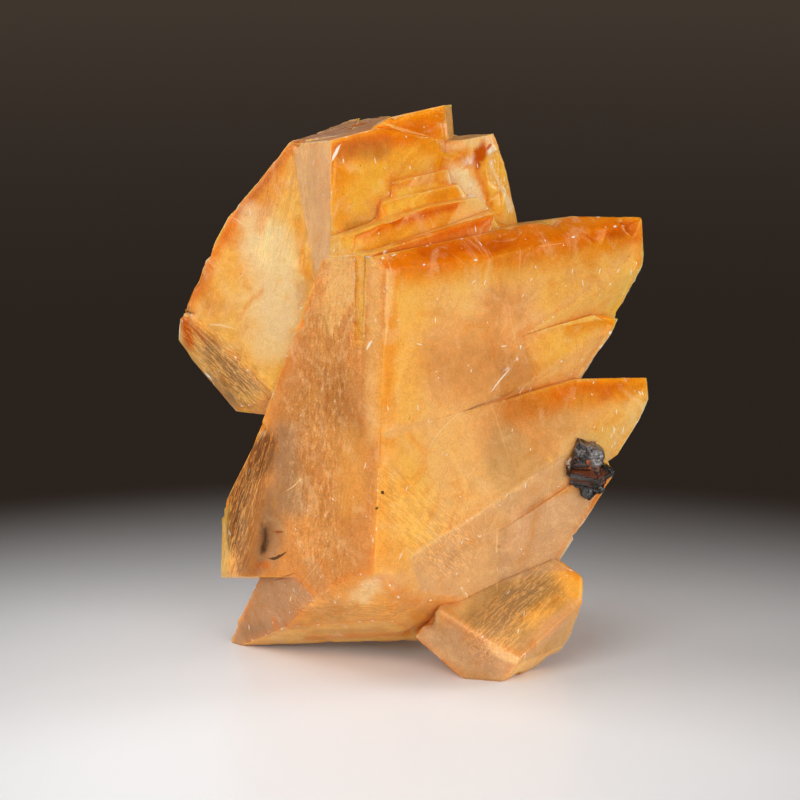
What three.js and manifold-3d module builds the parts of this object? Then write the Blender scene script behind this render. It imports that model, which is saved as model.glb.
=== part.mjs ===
// Golden calcite: a cluster of scalenohedral crystals in parallel growth, with a small lump of
// black sphalerite on its right side. It stands on three points: the left end of the lowest
// crystal, the pale crystal in front and a smaller crystal behind.
// Millimetres, +Z up. The viewer of the show side is at -Y, so a lower y is nearer to that viewer.
// The origin is at the middle of the bounding box's base, on the surface that it stands on.
import * as THREE from "three";
import { ConvexGeometry } from "three/addons/geometries/ConvexGeometry.js";
import { mergeVertices } from "three/addons/utils/BufferGeometryUtils.js";
import Module from "manifold-3d";

const wasm = await Module();
wasm.setup();

// Driving dimensions, in millimetres.
const CONTACT_GAP = 0.3; // between the calcite and the sphalerite that sits on it
const LOW_STEP = 0.3; // height of the lowest growth steps, between crystals that share a face
const LEDGES_BACK = [4.5, 7.5, 10, 11.2]; // how far each ledge stands behind the front right face
const CROWN_BACK = 12.1; // the same for the crown crystal above the ledges
const GROOVE = { width: 1.9, depth: 0.9, top: 77, bottom: 60.6 }; // the groove beside the ridge

// Vector helpers: points are [x, y, z].
const sub = (a, b) => [a[0] - b[0], a[1] - b[1], a[2] - b[2]];
const dot = (a, b) => a[0] * b[0] + a[1] * b[1] + a[2] * b[2];
const cross = (a, b) => [
  a[1] * b[2] - a[2] * b[1],
  a[2] * b[0] - a[0] * b[2],
  a[0] * b[1] - a[1] * b[0],
];

// The plane of a face, moved outwards by "out". Its normal points away from inside.
function planeOf({ points: [p, q, r], out }, inside) {
  const raw = cross(sub(q, p), sub(r, p));
  const side = dot(raw, sub(inside, p)) > 0 ? -1 : 1;
  const normal = raw.map((c) => (c * side) / Math.hypot(...raw));
  return { normal, reach: dot(normal, p) + out };
}

// The point where three planes meet, or null where two of them are parallel.
function meeting(a, b, c) {
  const bc = cross(b.normal, c.normal);
  const det = dot(a.normal, bc);
  if (Math.abs(det) < 1e-6) return null;
  const ca = cross(c.normal, a.normal);
  const ab = cross(a.normal, b.normal);
  return [0, 1, 2].map(
    (i) => (a.reach * bc[i] + b.reach * ca[i] + c.reach * ab[i]) / det,
  );
}

// A closed solid from a geometry, for joining and cutting.
function solidOf(geometry) {
  const bare = new THREE.BufferGeometry().setAttribute(
    "position",
    geometry.getAttribute("position"),
  );
  if (geometry.index) bare.setIndex(geometry.index);
  const merged = mergeVertices(bare, 1e-4);
  return new wasm.Manifold(
    new wasm.Mesh({
      numProp: 3,
      vertProperties: merged.getAttribute("position").array,
      triVerts: new Uint32Array(merged.index.array),
    }),
  );
}

// A face through three of its points; "out" moves it outwards, a negative one inwards.
const face = (points, out = 0) => ({ points, out });

// One convex crystal: everything behind all its faces. "grown" moves every face outwards.
function crystal(inside, faces, grown = 0) {
  const planes = faces.map(({ points, out }) =>
    planeOf({ points, out: out + grown }, inside),
  );
  const corners = [];
  planes.forEach((a, i) =>
    planes.slice(i + 1).forEach((b, j) =>
      planes.slice(i + j + 2).forEach((c) => {
        const p = meeting(a, b, c);
        if (p && planes.every((q) => dot(q.normal, p) < q.reach + 1e-5))
          corners.push(new THREE.Vector3(...p));
      }),
    ),
  );
  return solidOf(new ConvexGeometry(corners));
}

// The faces that the crystals share, because they grew parallel: two in front, meeting in the
// front ridge, and two behind, meeting in the back ridge.
const RIDGE_TOP = [-4.3, -21, 75.3];
const RIDGE_FOOT = [-7.1, -27, 16];
const FRONT_RIGHT = [RIDGE_TOP, RIDGE_FOOT, [40.8, 2, 76]];
const FRONT_LEFT = [RIDGE_TOP, RIDGE_FOOT, [-34, -5, 25]];
const BACK_TOP = [2, 24, 74];
const BACK_FOOT = [6, 28, 16];
const BACK_LEFT = [BACK_TOP, BACK_FOOT, [-34.3, 0, 20]];
// The lower bevel of the lower fin, which the two crystals below it share.
const BEVEL_BELOW = [[-0.7, -23.2, 22.8], [40.9, -0.4, 43.9], [34.7, -2.6, 33.8]];
const LEFT_UPPER = [[-17.1, -11.9, 69.8], [-27.8, -7.8, 39.9], [-15, 14, 68]];

// A horizontal face, for the hidden ends inside the cluster and for the worn contact flats.
const level = (z) => face([[0, 0, z], [1, 0, z], [0, 1, z]]);

const UPPER_FIN = [
  face(FRONT_RIGHT),
  face(FRONT_LEFT),
  face(LEFT_UPPER),
  face(BACK_LEFT),
  face([[12.6, -12.5, 73.7], [39.7, 1.6, 78.1], [28.6, 0.5, 79.1]]), // bevel above
  face([[13.4, -6.7, 77.6], [28.6, 0.5, 79.2], [8, 14, 74]]), // roof, left
  face([[28.6, 0.5, 79.2], [40.4, 3, 78.5], [24, 16, 75]]), // roof, right
  face([[19.6, -10, 60.1], [39.8, 1, 69.4], [35.5, 1.5, 61.3]]), // bevel below
  face([[40.5, 0, 79], [40.9, 0, 73], [40.7, 8, 76]]), // blunt tip
  face([[40.8, 2.6, 73.7], [39.1, 1.6, 65.9], [8, 24, 68]]), // back right
  level(46),
];

// The crystal behind the upper end of the ridge. Its bevel is flatter than that of the upper fin.
const RIDGE_CRYSTAL = [
  face(FRONT_RIGHT),
  face(FRONT_LEFT),
  face(LEFT_UPPER),
  face(BACK_LEFT),
  face([[-2.8, -20.4, 73.6], [12.6, -12.5, 73.7], [13.4, -6.7, 77.6]]), // bevel above
  face([[-5.1, -16.3, 75.2], [13.4, -6.9, 77.4], [4, 8, 74]]), // roof, inside the ledges
  face([[14, -8, 78], [16, -8, 70], [12, 14, 74]]), // right, inside the upper fin
  face([[-6, 12, 74], [14, 6, 74], [4, 2, 50]]), // back, inside the upper fin
  face([[14, -13.5, 49], [-6, -24, 43], [0, 10, 44]]), // end inside the lower fin
];

const MIDDLE_FIN = [
  face(FRONT_RIGHT, -LOW_STEP),
  face(FRONT_LEFT, -0.1),
  face(LEFT_UPPER, -0.6),
  face(BACK_LEFT, -1.4),
  face([[19.6, -10, 59.8], [32.3, -3.4, 62.2], [26, 8, 59.6]]), // roof
  face([[32.3, -3.4, 62.2], [36.2, -0.6, 61], [30, 8, 59]]), // short facet at the tip
  face([[12.9, -14.3, 48.5], [35.1, -2.2, 59.3], [30.1, -2, 50.8]]), // bevel below
  face([[36.2, -0.9, 61], [30.1, -2.6, 50.8], [8, 12, 56]]), // back right
  level(32),
];

const LOWER_FIN = [
  face(FRONT_RIGHT, LOW_STEP),
  face(FRONT_LEFT, 0.1),
  face(BACK_LEFT),
  face([[12.9, -14.4, 48.2], [30, -5.4, 51.1], [24, 6, 48.8]]), // roof, left
  face([[30, -5.4, 51], [41.6, 0.4, 50], [28, 8, 48]]), // roof, right
  face([[41.8, 0, 50], [42, 0, 47.6], [41.8, 6, 49]]), // blunt tip
  face([[42, 0.8, 47.6], [40.9, 0.2, 43.9], [28, 14, 46]]), // back right, at the tip
  face([[40.9, 0.4, 43.9], [34.8, -2, 34], [8, 26, 40]]), // back right
  face(BEVEL_BELOW),
  face([[-32.7, -5.4, 29.5], [-32.6, -7.3, 16], [-34.5, -0.2, 20.2]]), // narrow left facet
  face([[-28.9, -7.2, 37.9], [-32.9, -5.2, 29.5], [-29, 0, 36.4]]), // left shoulder
  face([[-33, -7.1, 15.2], [-26.7, -11.7, 16.4], [-30, 5, 11.6]]), // underside of the left lobe
  face([[0, -20, 11.6], [10, -12, 12.4], [0, 10, 8]]), // underside, inside the base
];

// The crystal below them all: the cluster stands on its left end.
const BASE_CRYSTAL = [
  face(FRONT_RIGHT),
  face(FRONT_LEFT, 0.1),
  face(BEVEL_BELOW),
  face([[-6.8, -26.4, 22], [-17.4, -19.3, 14.7], [-2.3, -22.9, 15.3]]), // facet across the ridge
  face([[-17.5, -18.9, 14.2], [-21.3, -15.6, 17.3], [-32.8, 2.9, 1.6]]), // left end
  face([[-17.5, -18.9, 14.2], [-3, -23.4, 15.3], [-16, -12.6, 7.4]]), // underside, front left
  face([[-2.3, -22.9, 15.3], [10.8, -14.1, 12.5], [0.4, -13, 7.3]]), // underside, front right
  face([[-30.4, 1, 0.3], [-18.8, -12, 7.5], [0.5, -14, 7.4]]), // underside, middle
  face([[-31.4, 3, 0], [0.6, -7, 4], [8, 24, 8]]), // underside, back
  face([[-32.8, 4, 1.4], [-26.9, -7, 15], [2, 26, 22]]), // back left, above
  face([[-32.6, 4.2, 1.2], [3, 24, 5], [5, 28.6, 15]]), // back left, below
  face([[5, 28.6, 15], [20, 14, 20], [3, 24, 5]]), // back right
  face([[16, -12, 20], [16, 10, 20], [14, -12, 5]]), // right, inside the lowest fin
  face([[6, 28.4, 16], [-20, 12, 18], [16, 4, 26]]), // roof, inside the lower fin
  level(0),
];

const LOWEST_FIN = [
  face([[14.9, -13.7, 25], [15, -11.8, 14.8], [36.4, -2.8, 33.6]]), // front right
  face([[14.9, -13.7, 25], [28, -7.4, 32], [26, 6, 31]]), // roof, left
  face([[28, -7.4, 32], [34.8, -3.9, 34.3], [28, 6, 33]]), // roof, right
  face([[34.8, -3.9, 34.3], [36.4, -2.8, 33.6], [34, 6, 34]]), // short facet at the tip
  face([[36.4, -2.6, 33.6], [25.9, -5.6, 17.7], [8, 24, 24]]), // back right
  face([[25.9, -6, 17.2], [15.2, -11.7, 13.6], [8, 20, 10]]), // underside
  face([[9, 0, 20], [11, 10, 20], [10, 0, 40]]), // left, inside the base
];

const CROWN = [
  face([[-21.6, 3.5, 91.9], [-17.4, -6.8, 70.2], [-14.3, -12.3, 77]]), // narrow front strip
  face(FRONT_RIGHT, -CROWN_BACK),
  face([[-13.7, -11.6, 94.3], [-6.1, -6.7, 95.7], [-7.5, 17, 93.9]]), // top, left
  face([[-6.1, -6.7, 95.7], [6.1, -0.7, 92.6], [0, 16, 93.4]]), // top, right
  face([[-22, 4.5, 92], [-22, 12, 60], [-12, 24, 80]]), // left, inside the left crown
  face([[6.1, -0.7, 92.6], [4.5, -1.9, 88.6], [12, 16, 88]]), // right end
  face([[-12, 26, 80], [0, 26, 60], [-6, 25, 84]]), // back left
  face([[-6, 25.4, 84], [8, 17, 84], [6, 25, 60]]), // back right
  face([[-12, 26, 60], [2, 26, 52], [-4, 0, 40]]), // lower end
];

// The crystal on the left of the crown: golden above, clear at its lower left end.
const CROWN_LEFT = [
  face([[-21.6, 3.5, 91.9], [-41.3, 10, 61.8], [-23.2, -8, 51.3]]), // front
  face([[-21.6, 3.5, 91.9], [-13.7, -11.6, 94.3], [-19.6, 14, 91.7]]), // top
  face([[-21.6, 3.5, 91.9], [-33.1, 8.4, 77.7], [-22, 22, 84]]), // left shoulder
  face([[-33.1, 8.4, 77.7], [-41.3, 10, 61.8], [-30, 24, 66]]), // left, above
  face([[-41.3, 10, 61.8], [-42.7, 13.4, 53.6], [-34, 22, 58]]), // left tip
  face([[-42.7, 13.4, 53.6], [-31.9, 3.4, 43.3], [-30, 18, 46]]), // left, below
  face([[-40.7, 8.8, 59.6], [-24, -8.4, 48.3], [-31.9, 3.4, 43.4]]), // clear facet
  face([[-32, 3.6, 43.1], [-24.9, -7.6, 48.7], [-25.5, 0, 43.1]]), // underside, in front
  face([[-32, 3.6, 43.1], [-25.5, 0, 43.1], [-20, 24, 50]]), // underside, behind
  face([[-11.5, -6, 92], [-20, -4, 44], [-16, 20, 60]]), // right, inside the cluster
  face([[-36, 20, 56], [-26, 24, 80], [-6, 28, 60]]), // back
];

// The thin orange plate on top of the crown.
const PLATE = [
  face([[-5.6, -4.6, 96.4], [5.6, 0.6, 98.8], [6, 0.8, 93.8]]), // front
  face([[-4, -3.6, 97.2], [5.6, 0.8, 98.8], [2, 12, 96.4]]), // roof
  face([[-5.7, -4.5, 96.3], [-4, -3.6, 97.2], [-6, 8, 95]]), // left end
  face([[5.6, 0.6, 98.8], [6, 0.8, 93.8], [6.6, 8, 96]]), // right end
  face([[-5, 6, 98], [8, 13, 98], [2, 9, 90]]), // back
  face([[-8, -8, 92], [-8, 8, 92], [-9, 0, 88]]), // left, inside the crown
  level(90),
];

// The ledges between the crown and the upper fin: each is a parallel crystal, standing back.
const LEDGES = [
  {
    inside: [2, 4, 74],
    roof: [[[-5.1, -16.3, 75.8], [14.3, -6.1, 80.5], [2, 4, 79]]],
    end: [[[14.3, -6.1, 80.5], [13.5, -6.6, 77.6], [12, 8, 79]]],
    left: -14.2,
    foot: 64,
  },
  {
    inside: [0, 4, 76],
    roof: [
      [[-10.6, -15.5, 78.5], [2.6, -8.5, 82.1], [-2, 2, 81.4]],
      [[2.6, -8.5, 82.1], [11.5, -3.9, 83], [6, 6, 83.2]],
    ],
    end: [
      [[8.2, -5.6, 82.8], [6.5, -6.7, 78.7], [14.2, -1.4, 80]],
      [[11.5, -3.4, 83], [14.2, -1.4, 80], [10, 8, 82]],
    ],
    left: -14.2,
    foot: 66,
  },
  {
    inside: [0, 4, 80],
    roof: [
      [[-4.2, -9.1, 83.4], [3.1, -5.3, 84.5], [0, 6, 85]],
      [[3.1, -5.3, 84.6], [8.1, -2.7, 85.1], [6, 6, 85.6]],
    ],
    end: [[[8.1, -2.7, 85.1], [9.5, -2.2, 82.8], [9, 8, 84]]],
    left: -6,
    foot: 70,
  },
  {
    inside: [0, 4, 84],
    roof: [[[-4.2, -7.4, 86.2], [6.1, -2, 87.7], [4, 6, 88]]],
    end: [[[6.1, -2, 87.7], [7, -1.9, 84], [8, 8, 86]]],
    left: -4.2,
    foot: 74,
  },
];

const ledgeFaces = ({ roof, end, left, foot }, i) => [
  face(FRONT_RIGHT, -LEDGES_BACK[i]),
  face(FRONT_LEFT, -0.25 - 0.3 * i),
  ...roof.map((points) => face(points)),
  ...end.map((points) => face(points)),
  face([[left, -10, 80], [left, -10, 60], [left + 3, 14, 70]]), // left end
  face([[-12, 18, 70], [16, 8, 70], [2, 12, 90]]), // back, inside the cluster
  level(foot),
];

// The crystal behind the ledges on the right, with a pale rim.
const RIM_CRYSTAL = [
  face([[13.8, 3.4, 91], [11, 0.9, 87], [15.2, 3.8, 79]]), // hollow-looking front
  face([[15.6, 4.6, 91.9], [16.2, 5, 77.2], [17.9, 9, 86.3]]), // pale rim
  face([[17.5, 8.4, 88.8], [17.9, 9, 86.3], [14, 20, 86]]), // right, above
  face([[17.7, 9, 81.1], [18.9, 11, 76], [14, 22, 78]]), // right, below
  face([[14.7, 6, 93.2], [17.5, 8.4, 88.8], [12, 18, 90]]), // shoulder
  face([[6.2, 4, 92], [14.7, 5.4, 93.2], [8, 18, 91]]), // roof
  face([[11.3, 0.4, 88], [6, -1, 92], [6, -1, 80]]), // front, inside the ledges
  face([[0, 4, 92], [0, 4, 70], [-2, 18, 80]]), // left, inside the crown
  face([[0, 22, 90], [16, 15, 84], [8, 19.5, 70]]), // back
  level(68),
];

const PALE_CRYSTAL = [
  face([[8.95, -19.5, 0], [15.6, -21.4, 0], [4.2, -17.8, 12.1]]), // front left
  face([[4.2, -17.8, 12.1], [17.6, -21.8, 5], [25.8, -7, 17.9]]), // top, with veils
  face([[18.3, -22, 3.6], [29.8, -12.1, 11.8], [24.7, -15, 6]]), // right
  face([[15.6, -21.4, 0], [18.3, -22, 3.5], [24, -10, 0]]), // lower right
  face([[28.2, -7, 17.2], [30.6, -8.3, 15.3], [26, 2, 12]]), // right shoulder
  face([[30.6, -8.3, 15.3], [30.4, -11.6, 12.4], [27, 4, 10]]), // right end
  face([[4.2, -17.8, 12.1], [0.4, -16.9, 6.9], [3, -6, 8]]), // left, above
  face([[0.4, -16.9, 6.9], [8.95, -19.5, 0], [8, -13, 0]]), // left, below
  face([[24, -10, 0], [30, -8, 10], [14, 0, 4]]), // back right
  face([[8, -14.6, 0], [19, -14.6, 0], [14, 0, 8]]), // back, underneath
  face([[26, -6, 18], [0, -8, 14], [14, 0, 14]], 1), // end inside the cluster
  level(0),
];

// The small crystal behind, on whose worn end the cluster stands.
const REAR_CRYSTAL = [
  face([[10, 21, 0], [19, 20, 0], [12, 10, 12]]), // front
  face([[19, 20, 0], [17, 25, 0], [22, 14, 14]]), // right
  face([[17, 25, 0], [9.5, 25, 0], [8, 29.6, 16]]), // back
  face([[10, 21, 0], [9.5, 25, 0], [0, 20, 14]]), // left
  face([[22, 14, 16], [10, 28.6, 18], [10, 20, 34]]), // roof, right
  face([[0, 20, 18], [10, 28.6, 18], [4, 20, 34]]), // roof, left
  face([[-4, 8, 10], [22, 8, 10], [8, 10, 30]]), // end inside the cluster
  level(0),
];

// A block along the front left face, for a vertical groove: centred on the face, beside the ridge.
function grooveCutter() {
  const along = Math.atan2(16, -29.7);
  const block = new THREE.BoxGeometry(
    GROOVE.width,
    2 * GROOVE.depth,
    GROOVE.top - GROOVE.bottom,
  );
  block.rotateZ(along);
  block.rotateX(-0.1);
  block.translate(-9.3, -18, (GROOVE.top + GROOVE.bottom) / 2);
  return solidOf(block);
}

// A wedge-shaped notch between two crystals: a triangular prism with its edge inside the calcite.
const NOTCHES = [
  // between the crown's front left face and its clear facet, at the silhouette
  [[-44, 9, 60.6], [-39.6, 9.2, 60.2], [-44, 9, 58.4]],
];

function notch(points) {
  const [a, b, c] = points.map((p) => new THREE.Vector3(...p));
  const ahead = new THREE.Vector3(1.2, -4, 0);
  const behind = new THREE.Vector3(-1.2, 4, 0);
  return solidOf(
    new ConvexGeometry(
      [a, b, c].flatMap((p) => [p.clone().add(ahead), p.clone().add(behind)]),
    ),
  );
}

const crystals = [
  crystal([0, 0, 65], UPPER_FIN),
  crystal([0, 0, 65], RIDGE_CRYSTAL),
  crystal([0, 0, 50], MIDDLE_FIN),
  crystal([0, 0, 35], LOWER_FIN),
  crystal([0, 0, 15], BASE_CRYSTAL),
  crystal([16, 0, 22], LOWEST_FIN),
  crystal([-8, 6, 80], CROWN),
  crystal([-20, 10, 68], CROWN_LEFT),
  crystal([1, 4, 94], PLATE),
  ...LEDGES.map((ledge, i) => crystal(ledge.inside, ledgeFaces(ledge, i))),
  crystal([8, 10, 80], RIM_CRYSTAL),
  crystal([15, -12, 8], PALE_CRYSTAL),
  crystal([12, 18, 14], REAR_CRYSTAL),
];
const joined = crystals.reduce((a, b) => a.add(b));
const calcite = [grooveCutter(), ...NOTCHES.map(notch)].reduce(
  (a, b) => a.subtract(b),
  joined,
);

// The sphalerite: four blocky crystals grown together, cut back so that it clears the calcite.
const SPHALERITE_BLOCKS = [
  { size: [5, 4.6, 4.6], at: [30.6, -7.4, 37.6], turn: [0.2, 0.35, 0.3] },
  { size: [4.8, 4.4, 5], at: [32.3, -6.4, 33.6], turn: [0.7, -0.3, 0.5] },
  { size: [3, 4, 4.2], at: [28.8, -7.8, 36], turn: [0.2, 0.9, 0.1] },
  { size: [3.6, 3.8, 3.6], at: [31.6, -6.2, 31.6], turn: [0.9, 0.2, 0.8] },
];
const keepClear = [
  crystal([0, 0, 35], LOWER_FIN, CONTACT_GAP),
  crystal([16, 0, 22], LOWEST_FIN, CONTACT_GAP),
];
const sphalerite = keepClear.reduce(
  (a, b) => a.subtract(b),
  SPHALERITE_BLOCKS.map(({ size, at, turn: [rx, ry, rz] }) => {
    const block = new THREE.BoxGeometry(...size);
    block.rotateX(rx);
    block.rotateY(ry);
    block.rotateZ(rz);
    block.translate(...at);
    return solidOf(block);
  }).reduce((a, b) => a.add(b)),
);

// A named mesh from a solid.
function meshOf(name, solid, material) {
  const { numProp, vertProperties, triVerts, numVert } = solid.getMesh();
  const positions = new Float32Array(numVert * 3);
  for (let i = 0; i < numVert; i++)
    positions.set(vertProperties.subarray(i * numProp, i * numProp + 3), i * 3);
  const geometry = new THREE.BufferGeometry()
    .setAttribute("position", new THREE.BufferAttribute(positions, 3))
    .setIndex(new THREE.BufferAttribute(triVerts, 1));
  geometry.computeVertexNormals();
  const mesh = new THREE.Mesh(geometry, material);
  mesh.name = name;
  return mesh;
}

// Both solids move together, so that the origin is at the middle of the bounding box's base.
const { min, max } = calcite.boundingBox();
const toOrigin = [-(min[0] + max[0]) / 2, -(min[1] + max[1]) / 2, -min[2]];

const part = new THREE.Group();
part.add(
  meshOf(
    "calcite",
    calcite.translate(toOrigin),
    new THREE.MeshStandardMaterial({ color: 0xe09a4a, roughness: 0.3, metalness: 0 }),
  ),
  meshOf(
    "sphalerite",
    sphalerite.translate(toOrigin),
    new THREE.MeshStandardMaterial({ color: 0x1c1614, roughness: 0.25, metalness: 0 }),
  ),
);

export default part;
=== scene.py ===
"""Golden calcite with a small sphalerite crystal: the looks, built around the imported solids.

The solids give every face its place. Here the calcite gets a fine mesh with growth steps, worn edges
and chips, and a translucent material whose tones are laid where the specimen shows them.
Lengths are in millimetres until a mesh is made, +Z up, with the show side towards -Y.
"""

import math

import bmesh
import bpy
import numpy as np
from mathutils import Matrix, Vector
from mathutils.bvhtree import BVHTree
from mathutils.kdtree import KDTree


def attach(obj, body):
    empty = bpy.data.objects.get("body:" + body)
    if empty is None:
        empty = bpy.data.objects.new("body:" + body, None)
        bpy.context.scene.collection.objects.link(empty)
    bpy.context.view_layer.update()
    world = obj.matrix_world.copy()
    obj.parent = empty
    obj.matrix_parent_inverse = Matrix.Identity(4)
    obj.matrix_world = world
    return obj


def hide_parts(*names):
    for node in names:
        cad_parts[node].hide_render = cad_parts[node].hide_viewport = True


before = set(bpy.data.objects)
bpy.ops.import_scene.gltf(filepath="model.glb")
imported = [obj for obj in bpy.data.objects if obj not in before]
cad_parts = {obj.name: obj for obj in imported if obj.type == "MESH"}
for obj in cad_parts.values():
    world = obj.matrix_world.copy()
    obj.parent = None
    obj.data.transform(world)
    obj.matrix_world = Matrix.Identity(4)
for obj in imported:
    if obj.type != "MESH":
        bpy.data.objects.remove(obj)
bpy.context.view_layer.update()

MM = 0.001

# The camera stands where the photograph's did. Its frame is 800 pixels square.
PHOTO_SIDE = 800
CAMERA_DISTANCE = 620.0
CAMERA_RISE = math.radians(12)
LOOK_AT = Vector((-2.0, -1.4, 46.0))
PIXELS_PER_UNIT = 3472.0
SENSOR_WIDTH = 36.0

# The flat faces of the solids.
WELD = 0.002  # points closer than this are one point
FLAT_ANGLE = 0.004  # triangles that meet at less than this angle lie in one face
SHARP_ANGLE = math.radians(14)  # faces that meet at more than this make a crystal edge
EDGE_STEP = 0.5  # between the points along a crystal edge
EDGE_GAP = 0.8  # points farther apart than this aren't neighbours on one edge
NARROW_FACE = 0.65  # faces narrower than this take the tone of their neighbours
NARROW_WEIGHT = 0.001  # and have this share in the direction of their borders
LONG_STEP = 8.0  # narrow faces longer than this are long steps
LOW_STEP = 0.5  # long steps lower than this have grown over
FACET_LIMIT = 10000  # more than there are faces

# The calcite's mesh.
COARSE_EDGE = 5.0  # the longest edge before the last two halvings
LONGEST_FIRST = 0.6  # a round splits the edges longer than this share of the longest
MOST_ROUNDS = 80
FINE_REACH = 0.42  # around the borders of patches the mesh is halved again
JUST_INSIDE = 0.05  # the thickness is measured from this far below the surface
FAR_SIDE = 60.0  # the thickness where no far side is met
TINY = 1e-12  # stands in for a length of 0 that something is divided by

# The calcite's relief.
RELIEF_SEED = 11
MELT_PACE = 0.7  # how far a point moves towards its neighbours in a round
TERRACE = 0.11  # the height of the low growth steps on the faces at the back
EDGE_WEAR = 0.10
CHIP_SEED = 900
CHIP_REACH = 1.2  # a chip is broken out this far around, and four times its depth
CHIP_TILT = 0.22  # how far chips turn from the direction of their edge
SMALL_CHIP_SEED = 1000
SMALL_CHIPS = 110
SMALL_CHIP_DEPTH = (0.08, 0.24)

# The calcite's tones and traits.
STROKE_STEP = 6  # pixels between the points of a stroke
STROKE_CORE = 0.25  # the share of a stroke's width that has its full strength
STROKE_FINEST = 0.6  # the smallest bays of a stroke's border
STROKE_RAGGED = 0.35  # how far its border wanders, as a share of its width
STROKE_SEED = 100
STROKE_FACING = (0.3, 0.75)  # a stroke fades on faces turned further from its own than this cosine
CLEARNESS, FROSTING, STREAKS = range(3)  # the traits
CLEAR_SEED = 300
FROST_SEED = 330
STRAND_SEED = 360
STRAND_DRAWN = 0.88  # the share of its length that a strand's pattern is pushed together
HIDDEN_SEED = 77
HIDDEN_TONES = ("gold", "peach", "salmon", "sand", "straw", "gold")
HIDDEN_FROST = (0.1, 0.9)
HIDDEN_STREAK = (0.0, 0.6)
MARK_SEED = 300
MARK_FACING = 0.5  # marks stay on faces that turn less from their own than this cosine
GLINT_SEED = 350
GLINT_LENGTH = (0.6, 1.6)  # in steps between edge points
PATCH_FACING = 0.6  # as for marks
PATCH_DEPTH = 4.0  # how far in front of a patch or behind it a point still takes its tone
MARK_REACH = 2.2  # how far from a thin mark the mesh knows its place
FAR_AWAY = 99.0  # farther than any mark is known
AMBER_VEIL = (0.95, 0.76, 0.42, 1)
BROWN_FLECK = (0.62, 0.5, 0.36, 1)
GOLDEN_SHINE = (1.0, 0.74, 0.36, 1)
GOLDEN_DEPTH = (1.0, 0.72, 0.38, 1)

# The sphalerite.
BLENDE_EDGE = 1.3
BLENDE_SEED = 40
BLENDE_BREAKS = 40
BLENDE_BREAK_DEPTH = (0.15, 0.6)
BLENDE_TILT = 0.5
BLENDE_STROKE_SEED = 7
METAL = 0  # its one trait

# How an attribute is stored, by how many numbers it has.
ATTRIBUTE_KINDS = {3: ("FLOAT_VECTOR", "vector"), 4: ("FLOAT_COLOR", "color")}

# The stage: a floor with a painted pool of light, pale around the specimen and fading into the dark, where a
# faint painted glow stands in for a lit backdrop. Places, sizes and distances are in metres.
FLOOR_RADIUS = 4.0
FLOOR_CENTRE = (0, -0.075, 0)
FLOOR_FADE = (0.03, 0.21)
GLOW_FADE = (0.3, 1.4)
LIT_FLOOR = (0.9, 0.9, 0.91, 1)
DARK_FLOOR = (0.003, 0.0024, 0.002, 1)
NEAR_GLOW = (0.021, 0.0145, 0.011, 1)
FAR_GLOW = (0.050, 0.037, 0.028, 1)
ROOM_LIGHT = (0.05, 0.04, 0.033, 1)

# Soft lights that face one point: the place, the two sides of the light, and its power in watts.
LIT_POINT = (0, 0, 0.05)
LIGHTS = {
    "key": ((-0.60, 0.10, 0.40), (0.5, 0.5), 3.2),
    "right": ((0.75, -1.35, 0.30), (1.0, 0.8), 19.0),
    "left": ((-0.55, -0.90, 0.70), (0.9, 0.7), 7.2),
    "back": ((-0.30, 0.60, 0.40), (0.6, 0.4), 0.9),
    "rim": ((0.85, 0.30, 0.30), (0.4, 0.5), 4.0),
    "top": ((-0.05, -0.05, 0.70), (0.4, 0.4), 0.5),
}

# Tones of the two minerals as they look in daylight, 0 to 255.
TONES = {
    "white": (255, 246, 230),
    "cream": (254, 212, 156),
    "bright": (255, 192, 100),
    "gold": (252, 186, 84),
    "honey": (254, 184, 62),
    "peach": (246, 187, 112),
    "sand": (216, 168, 121),
    "rose": (240, 186, 134),
    "straw": (208, 160, 98),
    "grey": (176, 136, 100),
    "amber": (236, 150, 12),
    "orange": (230, 120, 2),
    "deep": (206, 90, 0),
    "salmon": (226, 153, 82),
    "brown": (172, 108, 48),
    "rust": (156, 74, 12),
    "pink": (192, 142, 104),
    "smoke": (136, 110, 86),
    "dark": (34, 22, 14),
    "black": (22, 17, 14),
    "liver": (96, 46, 24),
    "steel": (120, 116, 114),
    "silver": (214, 206, 194),
}

# The tables below are in groups, by place. A pixel is where the photograph shows the feature.
# Whole faces: a tone, its strength, and a pixel in each face.
FILLS = {
    "fins, right faces": [
        ("peach", 1.0, (486, 320), (486, 455), (530, 492)),
        ("sand", 0.8, (450, 573), (548, 527)),
    ],
    "left face": [("salmon", 1.0, (333, 362), (307, 513))],
    "faces between the fins": [("peach", 1.0, (514, 396), (489, 402))],
    "foot": [("pink", 0.9, (269, 608)), ("salmon", 0.5, (336, 614), (362, 592), (413, 613))],
    "pale crystal": [("straw", 0.9, (520, 606), (553, 636)), ("sand", 1.0, (465, 650))],
    "crown, left face": [("gold", 1.0, (257, 275))],
    "crown, plate": [("honey", 1.0, (375, 171))],
    "crown, narrow face": [("rose", 0.9, (298, 180))],
    "crown, top": [
        ("brown", 0.8, (360, 126), (378, 122)),
        ("deep", 1.0, (418, 123)),
        ("brown", 0.8, (332, 131)),
    ],
    "crown, right edge": [("gold", 0.8, (487, 171), (507, 200)), ("amber", 0.8, (457, 164))],
    "fin, top face": [("orange", 0.9, (551, 232), (444, 252))],
    "crown, ledges": [
        ("deep", 0.8, (448, 235)),
        ("amber", 0.7, (402, 228)),
        ("gold", 0.9, (416, 201), (420, 184)),
    ],
    "crown, lower tip": [("straw", 0.6, (219, 367)), ("gold", 0.8, (256, 407))],
}

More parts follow.
